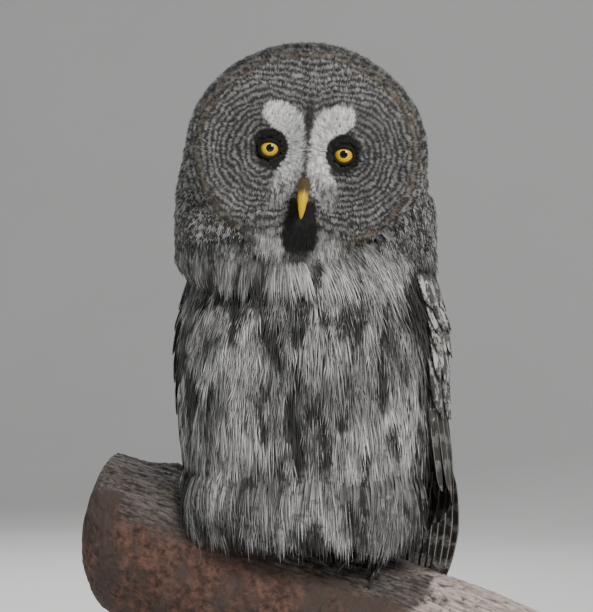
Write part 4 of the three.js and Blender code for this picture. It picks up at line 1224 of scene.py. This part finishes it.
rng = np.random.default_rng(31)
pitch = 0.00175
grid = np.arange(-0.09, 0.09, pitch)
across, up = (a.ravel() for a in np.meshgrid(grid, grid))
across = across + rng.uniform(-0.5, 0.5, len(across)) * pitch
up = up + rng.uniform(-0.5, 0.5, len(up)) * pitch
rho = np.hypot(across / DISC_HALF_WIDTH, up / DISC_HALF_HEIGHT)
eye_x = np.where(across > 0, EYE_SPREAD, -EYE_SPREAD)
from_eye = np.hypot(across - eye_x, up)
beak_gap = np.hypot(across / 0.0046, (up + 0.039) / 0.0125)
keep = (rho < 0.99) & (from_eye > 0.0078) & (beak_gap > 1)
across, up, eye_x, from_eye = (a[keep] for a in (across, up, eye_x, from_eye))
away_x, away_z = (across - eye_x) / from_eye, up / from_eye
near_middle = np.exp(-((across / 0.012) ** 2))
away_x = away_x * (1 - 0.6 * near_middle)
away_z = away_z + near_middle * (0.05 + 0.55 * np.clip((up - 0.004) / 0.02, -1, 1))
size = np.hypot(away_x, away_z)
length = 0.0062 + 0.0035 * np.clip((from_eye - 0.012) / 0.05, 0, 1)
length = length + rng.uniform(-0.0008, 0.0012, len(across))
tip_x = across + away_x / size * length
tip_z = up + away_z / size * length
stand = 0.0008 + 0.0012 * rng.uniform(0, 1, len(across)) + 0.0022 * near_middle * (up > -0.02)
inside = np.minimum(1.0, 1.03 / np.hypot(tip_x / DISC_HALF_WIDTH, tip_z / DISC_HALF_HEIGHT))
face_roots = on_disc(across, up, -0.0022)
face_tips = on_disc(tip_x * inside, tip_z * inside, stand)
coat(
    "coat_face", down_tuft, face_finish, face_roots, face_tips, disc_normal(across, up),
    widths=np.full(len(across), 0.0026), arches=0.0009, uvs=face_uv(face_roots), seed=32,
)

# The bib and its tufts start on the disc and hang over its lower rim.
BEARD_WIDTH = 0.038
BEARD_LOW = -0.070  # how far below the eyes the feathers leave the disc
count = 1300
across = np.clip(rng.normal(0, 0.02, count), -BEARD_WIDTH, BEARD_WIDTH)
up = rng.uniform(-0.075, -0.05, count) + 0.12 * np.abs(across)
reach = rng.uniform(0.010, 0.026, count)
tip_up = up - reach
fall = np.clip((BEARD_LOW - tip_up) / 0.02, 0, 1)
beard_roots = on_disc(across, up, -0.002)
tip_depth = disc_depth(across, np.maximum(tip_up, BEARD_LOW)) - 0.0035
tip_depth = tip_depth - rng.uniform(0, 0.004, count) + 0.002 * fall
beard_tips = from_head(np.stack([across * 1.12, tip_depth, tip_up], -1))
coat(
    "coat_beard", silky_feather, face_finish, beard_roots, beard_tips, disc_normal(across, up),
    widths=rng.uniform(0.004, 0.0065, count), arches=0.002, uvs=face_uv(beard_roots), seed=33,
)


# Crown, nape and ruff
# Small dark feathers flecked with grey over the head, stiff short ones in rows round the disc's rim, and
# longer soft ones from cheeks and nape. All are rooted in the head's skin.
crown_finish = plumage("crown_plumage", crown_colours, 0.4, 0.5)
nape_finish = plumage("nape_plumage", mantle_colours, 0.4, 0.6)


def head_roots(heights, angles, out):
    return from_head(head_point(heights, angles, out))


rng = np.random.default_rng(41)
shares, angles = [], []
for share in np.arange(0.0, 0.99, 0.0165):
    height = HEAD_WIDEST - 0.042 + (CROWN_RISE + 0.042) * math.sin(share * math.pi / 2)
    girth = max(float(dome_share(height, 2.3)), 0.05) * 0.095
    row = np.arange(0, 2 * np.pi, 0.0026 / girth)
    shares.append(height + rng.uniform(-0.0012, 0.0012, len(row)))
    angles.append(row + rng.uniform(0, 1, len(row)) * 0.0026 / girth)
heights, angles = np.concatenate(shares), np.concatenate(angles)
local = head_point(heights, angles)
FACE_BACK = -0.045  # the depth in the head's frame behind which nothing belongs to the face
clear = np.hypot(local[:, 0] / DISC_HALF_WIDTH, local[:, 2] / DISC_HALF_HEIGHT) > 1.0
clear |= local[:, 1] > FACE_BACK
clear &= from_head(local)[:, 2] > PERCH_TOP + 0.238
heights, angles = heights[clear], angles[clear]
roots = head_roots(heights, angles, -0.003)
# They lie back from the face over the crown and down the nape and cheeks.
local = to_head(roots)
downwards = -0.9 + 0.6 * np.clip(local[:, 2] / 0.08, -1, 1)
flow = np.stack([0 * heights, np.full(len(heights), 1.0), downwards], -1) @ head_turn.T
normals = outward(lambda h, a: head_roots(h, a, 0.0), heights, angles)
normals *= np.sign(np.sum(normals * (roots - head_middle), axis=1, keepdims=True))
flow -= normals * np.sum(flow * normals, axis=1, keepdims=True)
flow += rng.normal(0, 0.12, flow.shape)
flow /= np.linalg.norm(flow, axis=1, keepdims=True)
length = rng.uniform(0.0095, 0.013, len(heights))
tips = roots + flow * length[:, None] + normals * rng.uniform(0.002, 0.0042, len(heights))[:, None]
coat(
    "coat_crown", down_tuft, crown_finish, roots, tips, normals,
    widths=np.full(len(heights), 0.0042), arches=0.0012, uvs=head_uv(roots), seed=42,
)

# Longer soft feathers hang from the cheeks and the nape over the shoulders, and hide the neck.
count = 3000
turn = rng.uniform(-np.pi, np.pi, count)
drop_from = rng.uniform(0, 1, count)
side_share = np.clip(np.abs(turn) / 1.2, 0, 1)
cheek_share = side_share * np.clip((1.9 - np.abs(turn)) / 0.3, 0, 1)
root_height = 0.198 + 0.03 * drop_from + 0.045 * drop_from * side_share
root_height = root_height + 0.022 * (1 - drop_from) * cheek_share
world = body_point(np.full(count, 0.2), turn, 0.0)
world[:, 2] = PERCH_TOP + root_height
local = to_head(world)
local_turn = np.arctan2(local[:, 0], -local[:, 1])
on_dome = from_head(head_point(np.maximum(local[:, 2], -0.085), local_turn, -0.0015))
on_dome[:, 2] = np.maximum(on_dome[:, 2], PERCH_TOP + 0.205)
local = to_head(on_dome)
in_disc = np.hypot(local[:, 0] / DISC_HALF_WIDTH, local[:, 2] / DISC_HALF_HEIGHT) < 1.04
keep = ~(in_disc & (local[:, 1] < FACE_BACK))
collar_roots = on_dome[keep]
count = len(collar_roots)
collar_length = rng.uniform(0.022, 0.05, count) * (1 - 0.45 * cheek_share[keep])
tip_height = collar_roots[:, 2] - PERCH_TOP - collar_length
root_turn = np.arctan2(collar_roots[:, 0], -collar_roots[:, 1])
tip_turn = root_turn + rng.normal(0, 0.03, count)
collar_tips = body_point(tip_height, tip_turn, 0.002 + rng.uniform(0, 0.005, count))
collar_normals = outward(body_point, tip_height, root_turn)
collar_finish = plumage("collar_plumage", collar_colours, shaft=0.4)
for word, chosen in (("front", np.abs(root_turn) < 1.75), ("nape", np.abs(root_turn) >= 1.75)):
    coat(
        "coat_collar_" + word, silky_feather, collar_finish if word == "front" else nape_finish,
        collar_roots[chosen], collar_tips[chosen], collar_normals[chosen],
        widths=rng.uniform(0.008, 0.013, int(chosen.sum())), arches=0.0045,
        uvs=body_uv(collar_roots[chosen]), seed=44,
    )

count = 1500
turn = rng.uniform(0, 2 * np.pi, count)
tier = rng.integers(0, 3, count)
edge = np.stack([np.cos(turn), np.sin(turn)], -1) * [DISC_HALF_WIDTH, DISC_HALF_HEIGHT]
rim_depth = disc_depth(edge[:, 0], edge[:, 1])
outwards = np.stack([np.cos(turn), 0 * turn, np.sin(turn)], -1)


def on_rim(beyond, depth):
    across, up = (DISC_HALF_WIDTH + beyond) * np.cos(turn), (DISC_HALF_HEIGHT + beyond) * np.sin(turn)
    return from_head(np.stack([across, rim_depth + depth, up], -1))


ruff_roots = on_rim(-0.0045 + 0.003 * tier, 0.004 + 0.003 * tier)
ruff_tips = on_rim(0.0045 + 0.0032 * tier + rng.uniform(0, 0.002, count), 0.004 + 0.006 * tier)
ruff_normals = (outwards * 0.35 + np.array([0, -1, 0])) @ head_turn.T
coat(
    "coat_ruff", body_feather, face_finish, ruff_roots, ruff_tips, ruff_normals,
    widths=np.full(count, 0.0072), arches=0.0045, uvs=head_uv(ruff_roots), seed=43,
)


# Wings and tail
# Long flat vanes, each a shaft with a web on either side, laid over one another like tiles. The coverts are
# broad and round, the secondaries and primaries long and narrow, barred on grey-brown with thin pale edges.
flight = Material("flight_plumage", 0.55)
flight.set(specular_ior_level=0.35)
flight_along, flight_aside = flight.attribute("along_mm"), flight.attribute("aside")
flight_wander = flight.noise(flight.place(), 120, 3)
BAR_PITCH_MM = 21
bars = flight.times(flight_along, 2 * math.pi / BAR_PITCH_MM)
bars = flight.math("SINE", flight.math("MULTIPLY_ADD", flight_wander, 7.0, bars))
fine_bars = flight.noise(flight.join(flight.attribute("aside_mm"), flight_along, 0.0), 0.5, 4, 0.65, 1.2)
dark_web = flight.mix(flight.ramp(fine_bars, 0.42, 0.6), (0.018, 0.0165, 0.015, 1), (0.052, 0.048, 0.043, 1))
pale_web = flight.mix(flight.ramp(fine_bars, 0.45, 0.58), (0.075, 0.07, 0.064, 1), (0.22, 0.21, 0.195, 1))
web = flight.mix(flight.ramp(bars, 0.1, 0.7), dark_web, pale_web)
web = flight.mix(flight.ramp(flight_aside, 0.86, 0.98, 0.0, 0.75), web, (0.42, 0.41, 0.39, 1))
web = flight.mix(flight.ramp(flight_aside, 0.085, 0.04), web, (0.11, 0.095, 0.08, 1))
flight.colour(web)


def slanted_barbs(kind, slant, fineness):
    """Fine parallel ridges that run out from the shaft at a slant."""
    place = kind.plus(kind.attribute("along_mm"), kind.times(kind.attribute("aside_mm"), slant))
    return kind.math("SINE", kind.times(place, fineness))


flight.bump(slanted_barbs(flight, 1.1, 9.0), 0.12, 0.0003)

covert = Material("covert_plumage", 0.7)
covert.set(specular_ior_level=0.3, sheen_weight=0.15)
covert_colour = covert.group(mantle_colours, Place=covert.place())["Color"]
covert_shade = covert.ramp(covert.attribute("tone"), 0.0, 1.0, 0.75, 1.2)
covert_shade = covert.join(covert_shade, covert_shade, covert_shade)
covert_colour = covert.mix(1.0, covert_colour, covert_shade, "MULTIPLY")
covert_shaft = covert.ramp(covert.attribute("aside"), 0.13, 0.05, 0, 0.7)
covert.colour(covert.mix(covert_shaft, covert_colour, (0.015, 0.014, 0.013, 1)))
covert.bump(slanted_barbs(covert, 0.9, 7.0), 0.2, 0.0004)


def turn_outward(piece, merge=None):
    """Turns every face of a closed mesh outwards, after points nearer than merge are joined."""
    work = bmesh.new()
    work.from_mesh(piece.data)
    if merge:
        bmesh.ops.remove_doubles(work, verts=work.verts, dist=merge)
    bmesh.ops.recalc_face_normals(work, faces=work.faces)
    work.to_mesh(piece.data)
    work.free()


MAP_COLUMNS, MAP_ROWS = 8, 9  # the vanes of one piece lie on its map in this grid


class Vanes:
    """Collects vanes into one closed mesh, with each one's own island on the map."""

    def __init__(self, columns, rows):
        self.columns, self.rows = columns, rows
        self.points, self.faces, self.values, self.uvs = [], [], [], []
        self.rng = np.random.default_rng(51)

    def add(self, path, outs, half_width, outline, cup=0.12, notch=0.02, thickness=0.0007):
        """path and outs are functions of the share along it, and outline gives the width along it."""
        n_rows, n_cols = self.rows, 2 * self.columns + 1
        shares = np.linspace(0, 1, n_rows)
        points = np.array([path(t) for t in shares])
        along = np.gradient(points, axis=0)
        along /= np.linalg.norm(along, axis=1, keepdims=True)
        out = np.array([outs(t) for t in shares])
        side = np.cross(along, out)
        side /= np.linalg.norm(side, axis=1, keepdims=True)
        out = np.cross(side, along)
        spread = np.linspace(-1, 1, n_cols)
        widths = half_width * np.interp(shares, *zip(*outline))
        length = np.linalg.norm(np.diff(points, axis=0), axis=1).sum()
        ragged = 1 + notch * self.rng.uniform(-1, 0.5, (n_rows, 2))
        base = len(self.points)
        tone = self.rng.uniform(0, 1)
        slot_number = len(self.uvs) // (2 * n_rows * n_cols)
        cell_x, cell_y = slot_number % MAP_COLUMNS, slot_number // MAP_COLUMNS
        for layer in (1, -1):
            for j in range(n_rows):
                for k in range(n_cols):
                    s = spread[k]
                    reach = widths[j] * s * (ragged[j, int(s > 0)] if abs(s) == 1 else 1)
                    dip = -cup * widths[j] * s * s
                    shaft = 0.35 * thickness * (abs(s) < 0.01) * (1 - shares[j])
                    thick = layer * (thickness / 2 * (1 - 0.75 * abs(s) ** 2) + shaft) if abs(s) < 1 else 0
                    sweep = -0.18 * widths[j] * abs(s) if j < n_rows - 1 else 0
                    point = points[j] + side[j] * reach + out[j] * (dip + thick) + along[j] * sweep
                    self.points.append(point)
                    along_mm, aside_mm = shares[j] * length * 1000, abs(reach) * 1000
                    self.values.append((shares[j], abs(s), along_mm, aside_mm, tone))
                    map_y = cell_y + 0.06 + 0.43 * shares[j] + (0.0 if layer > 0 else 0.45)
                    self.uvs.append(((cell_x + 0.5 + 0.42 * s) / MAP_COLUMNS, map_y / MAP_ROWS))
        size = n_rows * n_cols
        for j in range(n_rows - 1):
            for k in range(n_cols - 1):
                a, b = base + j * n_cols + k, base + j * n_cols + k + 1
                c, d = b + n_cols, a + n_cols
                self.faces.append((a, b, c, d))
                self.faces.append((a + size, d + size, c + size, b + size))
        for j in (0, n_rows - 1):
            for k in range(n_cols - 1):
                a = base + j * n_cols + k
                quad = (a, a + size, a + 1 + size, a + 1)
                self.faces.append(quad if j == 0 else quad[::-1])
        for k in (0, n_cols - 1):
            for j in range(n_rows - 1):
                a = base + j * n_cols + k
                quad = (a, a + n_cols, a + n_cols + size, a + size)
                self.faces.append(quad if k == 0 else quad[::-1])

    def finish(self, name, material, slot="flight_feathers"):
        piece = mesh_object(name, self.points, self.faces)
        values = np.array(self.values, np.float32)
        for number, key in enumerate(("along", "aside", "along_mm", "aside_mm", "tone")):
            attribute = piece.data.attributes.new(key, "FLOAT", "POINT")
            attribute.data.foreach_set("value", values[:, number].copy())
        write_uv(piece.data, np.array(self.uvs))
        turn_outward(piece, 1e-7)
        smooth_shaded(piece)
        piece.data.materials.append(material)
        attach(piece, "root")
        return piece


COVERT_OUTLINE = [(0, 0.55), (0.4, 0.95), (0.7, 1.0), (0.86, 0.86), (0.95, 0.55), (1, 0.12)]
QUILL_OUTLINE = [(0, 0.5), (0.3, 0.9), (0.62, 1.0), (0.86, 0.86), (0.96, 0.5), (1, 0.1)]


VANE_TILT = 7  # degrees by which each vane is tipped over the next


def body_vane(vanes, start, end, lifts, half_width, outline, side, **more):
    """Adds a vane that lies on the body from one height and angle to another."""

    def path(t):
        height = start[0] + (end[0] - start[0]) * t
        angle = side * math.radians(start[1] + (end[1] - start[1]) * t)
        point = body_point(np.array(height), np.array(angle), lifts[0] + (lifts[1] - lifts[0]) * t**0.7)
        return clear_of_perch(point[None, :], 0.005)[0]

    def outs(t):
        height = start[0] + (end[0] - start[0]) * t
        angle = side * math.radians(start[1] + (end[1] - start[1]) * t + VANE_TILT)
        normal = outward(body_point, np.array([height]), np.array([angle]))[0]
        normal[2] = 0
        return normal / np.linalg.norm(normal)

    vanes.add(path, outs, half_width, outline, **more)


# Each row of coverts: its height in front and behind, the number of feathers, their length and their lift.
COVERT_ROWS = [
    (0.208, 0.204, 17, 0.030, 0.0075), (0.192, 0.187, 16, 0.032, 0.0085), (0.176, 0.170, 15, 0.034, 0.009),
    (0.158, 0.150, 14, 0.040, 0.0085), (0.138, 0.128, 13, 0.046, 0.008), (0.116, 0.104, 12, 0.052, 0.0075),
]
rng = np.random.default_rng(52)
for word, side in (("left", 1), ("right", -1)):
    droop = 1.0 if side > 0 else 0.2
    stand_off = 1.0 if side > 0 else 0.85
    coverts = Vanes(columns=3, rows=10)
    for row, (top, bottom, count, length, lift) in enumerate(COVERT_ROWS):
        for i in range(count):
            t = (i + 0.5 * (row % 2)) / count
            height = top + (bottom - top) * t + rng.uniform(-0.002, 0.002)
            angle = 75 + (148 - 75) * t + rng.uniform(-1, 1)
            end = (height - length * rng.uniform(0.9, 1.1), angle + 3 + rng.uniform(-2, 2))
            flare = 0.003 * droop if row > 3 else 0
            body_vane(
                coverts, (height, angle), end, (0.003, lift * stand_off + flare + rng.uniform(0, 0.0012)),
                rng.uniform(0.0085, 0.0105), COVERT_OUTLINE, side, notch=0.09,
            )
    coverts.finish("coverts_" + word, covert.material)
    quills = Vanes(columns=4, rows=18)
    for i in range(12):
        t = i / 11
        start = (0.108 - 0.012 * t, 77 + 74 * t)
        end = (0.034 - 0.062 * t + rng.uniform(-0.003, 0.003), 86 + 74 * t)
        lift = 0.0055 + 0.017 * droop * math.sin(math.pi * (0.2 + 0.75 * t))
        body_vane(quills, start, end, (0.003, lift), 0.0125, QUILL_OUTLINE, side, notch=0.06, cup=0.16)
    for i in range(8):
        t = i / 7
        root = body_point(np.array(0.074 - 0.012 * t), np.array(side * math.radians(96 + 38 * t)), 0.002)
        middle = np.array([side * (0.099 - 0.041 * t), 0.080 + 0.008 * t, PERCH_TOP + 0.004])
        tip = np.array([side * (0.082 - 0.042 * t), 0.084 + 0.013 * t, PERCH_TOP - 0.064 - 0.086 * t**0.8])
        control = 2 * middle - (root + tip) / 2

        def quill_path(s):
            point = (1 - s) ** 2 * root + 2 * s * (1 - s) * control + s * s * tip
            return clear_of_perch(point[None, :], 0.006)[0]

        def quill_outs(s):
            out = np.array([side * (0.3 - 0.42 * s), 1, 0])
            return out / np.linalg.norm(out)

        quills.add(quill_path, quill_outs, 0.0098, QUILL_OUTLINE, notch=0.04, cup=0.14)
    quills = quills.finish("quills_" + word, flight.material)
    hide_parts("wing_" + word)

TAIL_BACK = 0.080
TAIL_TIP = -0.226
tail = Vanes(columns=4, rows=20)
for side in (-1, 1):
    for i in range(6):
        depth = TAIL_BACK - 0.0019 * i - (0.00095 if side > 0 else 0)
        top = np.array([side * (0.002 + 0.002 * i), depth, PERCH_TOP + 0.042])
        tip = np.array([side * (0.009 + 0.0075 * i), depth + 0.008, PERCH_TOP + TAIL_TIP + 0.0011 * i**2])

        def tail_path(t):
            return top + (tip - top) * t + np.array([0, 0.005 * t * (t - 1), 0])

        tail.add(tail_path, lambda t: np.array([0, 1.0, 0]), 0.0165, QUILL_OUTLINE, cup=0.05, notch=0.05)
tail = tail.finish("tail_vanes", flight.material)
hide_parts("tail")

# The back's feathers close the gap between the wings and run down over the tail's root.
back_finish = plumage("back_plumage", mantle_colours, 0.4)
heights, angles = rows_over(
    low=0.012, high=0.222, left=math.radians(122), right=math.radians(238),
    pitch_along=0.0085, pitch_round=0.0075, reach=0.085, rng=rng,
)
lengths = rng.uniform(0.026, 0.034, len(heights))
lifts = 0.004 + rng.uniform(0, 0.002, len(heights))
roots, tips, normals = lie_down_body(heights, angles, lengths, lifts, rng)
tips[:, 1] = np.maximum(tips[:, 1], np.where(tips[:, 2] < PERCH_TOP + 0.01, 0.086, -1))
tips = clear_of_perch(tips, 0.006)
coat(
    "coat_back", body_feather, back_finish, roots, tips, normals,
    widths=np.full(len(heights), 0.0115), arches=0.002, uvs=body_uv(roots), seed=53,
)


# Legs and toes
# Two legs and four toes on each foot, two of them turned back, all clad in dense short pale feathers down to
# the claws. The feathers are rooted in the skin, and the toes grip the bark.
leg_finish = plumage("leg_plumage", body_colours, 0.4)
rng = np.random.default_rng(61)
leg_roots, leg_tips, leg_normals = [], [], []
for side in (1, -1):
    for toe in range(4):
        lifts = np.interp(np.linspace(0, 1, 26), [0, 0.5, 1], [7.5, 7.2, 5])
        spine = toe_path(side, toe, np.linspace(-0.05, 1.0, 26), lifts)
        for j in range(25):
            along = spine[j + 1] - spine[j]
            along /= np.linalg.norm(along)
            thick = np.interp(j / 25, [0, 0.7, 1], [0.0066, 0.006, 0.0036])
            for turn in rng.uniform(0, 2 * np.pi, 13):
                across = np.cross(along, [0, 0, 1.0])
                across /= np.linalg.norm(across)
                normal = math.cos(turn) * across + math.sin(turn) * np.cross(across, along)
                leg_roots.append(spine[j] + normal * (thick - 0.001))
                leg_tips.append(spine[j] + normal * (thick + 0.0012) + along * rng.uniform(0.005, 0.008))
                leg_normals.append(normal)
    hip = np.array([side * 0.034, 0.004, PERCH_TOP + 0.05])
    ankle = perch_point(np.array(side * FEET_SPREAD), np.array(0.003), np.array(0.006))
    for _ in range(900):
        t, turn = rng.uniform(0.1, 1), rng.uniform(0, 2 * np.pi)
        normal = np.array([math.cos(turn), math.sin(turn), 0])
        spot = hip + (ankle - hip) * t + normal * np.interp(t, [0, 0.5, 1], [0.0155, 0.0125, 0.0105])
        leg_roots.append(spot - normal * 0.001)
        leg_tips.append(spot + normal * 0.002 + [0, 0, -rng.uniform(0.008, 0.012)])
        leg_normals.append(normal)
leg_roots, leg_normals = np.array(leg_roots), np.array(leg_normals)
coat(
    "coat_legs", down_tuft, leg_finish, leg_roots, clear_of_perch(np.array(leg_tips), 0.0012), leg_normals,
    widths=np.full(len(leg_roots), 0.0032), arches=0.0006, uvs=body_uv(leg_roots), seed=62,
)


# Claws
# Long curved claws of black horn, one growing from the end of each toe. They taper to a point and curve down
# over the bark.
CLAW_LENGTH = 0.021
claw_horn = Material("claw_horn", 0.28)
claw_horn.colour(claw_horn.mix(
    claw_horn.noise(claw_horn.place(), 300, 2), (0.008, 0.0075, 0.007, 1), (0.03, 0.027, 0.024, 1)
))
claw_horn.bump(claw_horn.noise(claw_horn.place(), 600, 3), 0.15, 0.0003)


def smooth_curve(points, count):
    """A smooth path through a few points."""
    points = np.array(points, float)
    keys = np.linspace(0, 1, len(points))
    at = np.linspace(0, 1, count)
    degree = min(3, len(points) - 1)
    return np.stack([np.polyval(np.polyfit(keys, points[:, k], degree), at) for k in range(3)], -1)


for word, side in (("left", 1), ("right", -1)):
    for toe in range(4):
        far = 1 + CLAW_LENGTH / TOE_LENGTHS[toe]
        stations = [0.9, 1 + (far - 1) * 0.35, 1 + (far - 1) * 0.7, far]
        path = smooth_curve(toe_path(side, toe, stations, [5.6, 8.0, 6.2, 1.8]), 14)
        radii = 0.0031 * (1 - np.linspace(0, 1, 14) ** 1.6) + 0.00025
        points, faces = closed_grid(tube_rows(path, radii, 14, 0.9))
        claw = mesh_object("talon_%s_%d" % (word, toe + 1), points, faces)
        smooth_shaded(claw)
        claw.data.materials.append(claw_horn.material)
        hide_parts("claw_%s_%d" % (word, toe + 1))
        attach(claw, "root")


# Eyes and lids
# Two glossy yellow eyes with small round pupils, set deep in the disc. Each is a ball with a slightly bulging
# front, held by a thin dark rim of bare lid that is drawn a little lower above.
EYE_RADIUS = 0.0093
FRONT_BULGE = 0.0007
LID_BALL = 0.0098  # the radius at which the lid lies over the ball
LID_HALF_WIDTH = 0.0076
LID_HALF_HEIGHT = 0.0068
eye_finish = Material("eye_finish", 0.06)
eye_finish.set(coat_weight=0.3, specular_ior_level=0.35, coat_roughness=0.02)
eye_local = in_head_frame(eye_finish, eye_finish.place())
eye_x, _, eye_z = eye_finish.split(eye_local)
eye_aside = eye_finish.minus(eye_finish.math("ABSOLUTE", eye_x), EYE_SPREAD - 0.0003)
pupil_from = eye_finish.distance(eye_aside, 0.0, eye_finish.minus(eye_z, 0.0002))
iris_grain = eye_finish.noise(eye_local, 900, 3)
iris_colour = (0.76, 0.52, 0.0, 1)
for share, colour in (
    (eye_finish.ramp(pupil_from, 0.0028, 0.0068), (0.64, 0.33, 0.0, 1)),
    (eye_finish.ramp(iris_grain, 0.35, 0.7, 0.0, 0.35), (0.86, 0.64, 0.01, 1)),
    (eye_finish.ramp(pupil_from, 0.0069, 0.0076), (0.02, 0.012, 0.005, 1)),
    (eye_finish.ramp(pupil_from, 0.0034, 0.003), (0.0005, 0.0005, 0.0005, 1)),
):
    iris_colour = eye_finish.mix(share, iris_colour, colour)
eye_finish.colour(iris_colour)
lid_skin = Material("lid_skin", 0.75)
lid_skin.set(specular_ior_level=0.2)
lid_grain = lid_skin.noise(lid_skin.place(), 700, 2)
lid_skin.colour(lid_skin.mix(lid_grain, (0.004, 0.004, 0.004, 1), (0.014, 0.013, 0.012, 1)))
lid_skin.bump(lid_skin.noise(lid_skin.place(), 1200, 2), 0.3, 0.0003)

for word, side in (("left", 1), ("right", -1)):
    centre = np.array([side * EYE_SPREAD, EYE_DEPTH, 0])
    rows = []
    for polar in np.linspace(0.04, math.pi - 0.04, 40):
        turn = np.linspace(0, 2 * np.pi, 56, endpoint=False)
        radius = EYE_RADIUS + FRONT_BULGE * math.exp(-((polar / 0.62) ** 4))
        rows.append(from_head(centre + radius * np.stack([
            math.sin(polar) * np.cos(turn), np.full(56, -math.cos(polar)), math.sin(polar) * np.sin(turn)
        ], -1)))
    points, faces = closed_grid(rows)
    eye = mesh_object("eyeball_" + word, points, faces)
    turn_outward(eye)
    smooth_shaded(eye)
    eye.data.materials.append(eye_finish.material)
    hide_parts("eye_" + word)
    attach(eye, "root")
    lid_rows = []
    for turn in np.linspace(0, 2 * math.pi, 72, endpoint=False):
        upper = max(math.sin(turn), 0)
        spread_x = LID_HALF_WIDTH * math.cos(turn)
        spread_z = math.sin(turn) * (LID_HALF_HEIGHT - 0.0012 * upper)
        on_ball = -math.sqrt(max(LID_BALL**2 - spread_x**2 - spread_z**2, 1e-8))
        thick = 0.0013 + 0.0005 * upper
        ring = np.linspace(0, 2 * np.pi, 10, endpoint=False)
        radial = np.array([math.cos(turn), 0, math.sin(turn)])
        core = centre + np.array([spread_x, on_ball - 0.0002 - 0.0006 * upper, spread_z]) + radial * 0.0006
        lid_rows.append(from_head(core + thick * (
            np.cos(ring)[:, None] * radial + np.sin(ring)[:, None] * np.array([0, -1, 0])
        )))
    rows = np.array(lid_rows)
    faces = []
    for j in range(72):
        for k in range(10):
            a, b = j * 10 + k, j * 10 + (k + 1) % 10
            c, d = ((j + 1) % 72) * 10 + (k + 1) % 10, ((j + 1) % 72) * 10 + k
            faces.append((a, b, c, d))
    lid = mesh_object("lid_" + word, rows.reshape(-1, 3), faces)
    turn_outward(lid)
    smooth_shaded(lid)
    lid.data.materials.append(lid_skin.material)
    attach(lid, "root")


# Beak
# Smooth yellow horn in two halves, the upper one hooked over the short lower one, with a dark olive root that
# grows out of the feathers of the face.
BEAK_TOP = [
    [0, -78, -24.5], [0, -89, -24.5], [0, -97, -29], [0, -102, -38], [0, -103.5, -46], [0, -101.5, -54],
]
BEAK_BOTTOM = [[0, -76, -37], [0, -86, -38.5], [0, -92.5, -42], [0, -97, -47.5]]
horn = Material("beak_horn", 0.34)
horn.set(coat_weight=0.08, specular_ior_level=0.3)
horn_local = in_head_frame(horn, horn.place())
horn_z = horn.split(horn_local)[2]
yellow = horn.mix(horn.noise(horn_local, 180, 3), (0.66, 0.37, 0.0, 1), (0.76, 0.49, 0.0, 1))
olive = horn.mix(horn.noise(horn_local, 300, 2), (0.04, 0.028, 0.012, 1), (0.12, 0.085, 0.03, 1))
horn.colour(horn.mix(horn.ramp(horn_z, -0.038, -0.03), yellow, olive))
horn.bump(horn.noise(horn.mapped(horn_local, scale=(1, 1, 0.3)), 500, 3), 0.1, 0.0003)


def beak_piece(name, path, radii, flat, node):
    """A tapering half of the beak along a path, with all sizes in mm in the head's frame."""
    curve = smooth_curve(np.array(path) / 1000, 22)
    radii = np.array(radii) / 1000
    shares = np.linspace(0, 1, 22)
    widths = np.interp(shares, np.linspace(0, 1, len(radii)), radii)
    widths[-1] *= 0.6
    points, faces = closed_grid(tube_rows(curve, widths, 28, flat))
    points = from_head(np.array(points))
    piece = mesh_object(name, points, faces)
    turn_outward(piece)
    smooth_shaded(piece)
    piece.data.materials.append(horn.material)
    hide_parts(node)
    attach(piece, "root")


beak_piece("beak_top", BEAK_TOP, [4.8, 4.9, 4.6, 3.9, 2.8, 0.8], 1.12, "beak_upper")
beak_piece("beak_bottom", BEAK_BOTTOM, [4.4, 4.4, 3.4, 1.0], 0.75, "beak_lower")
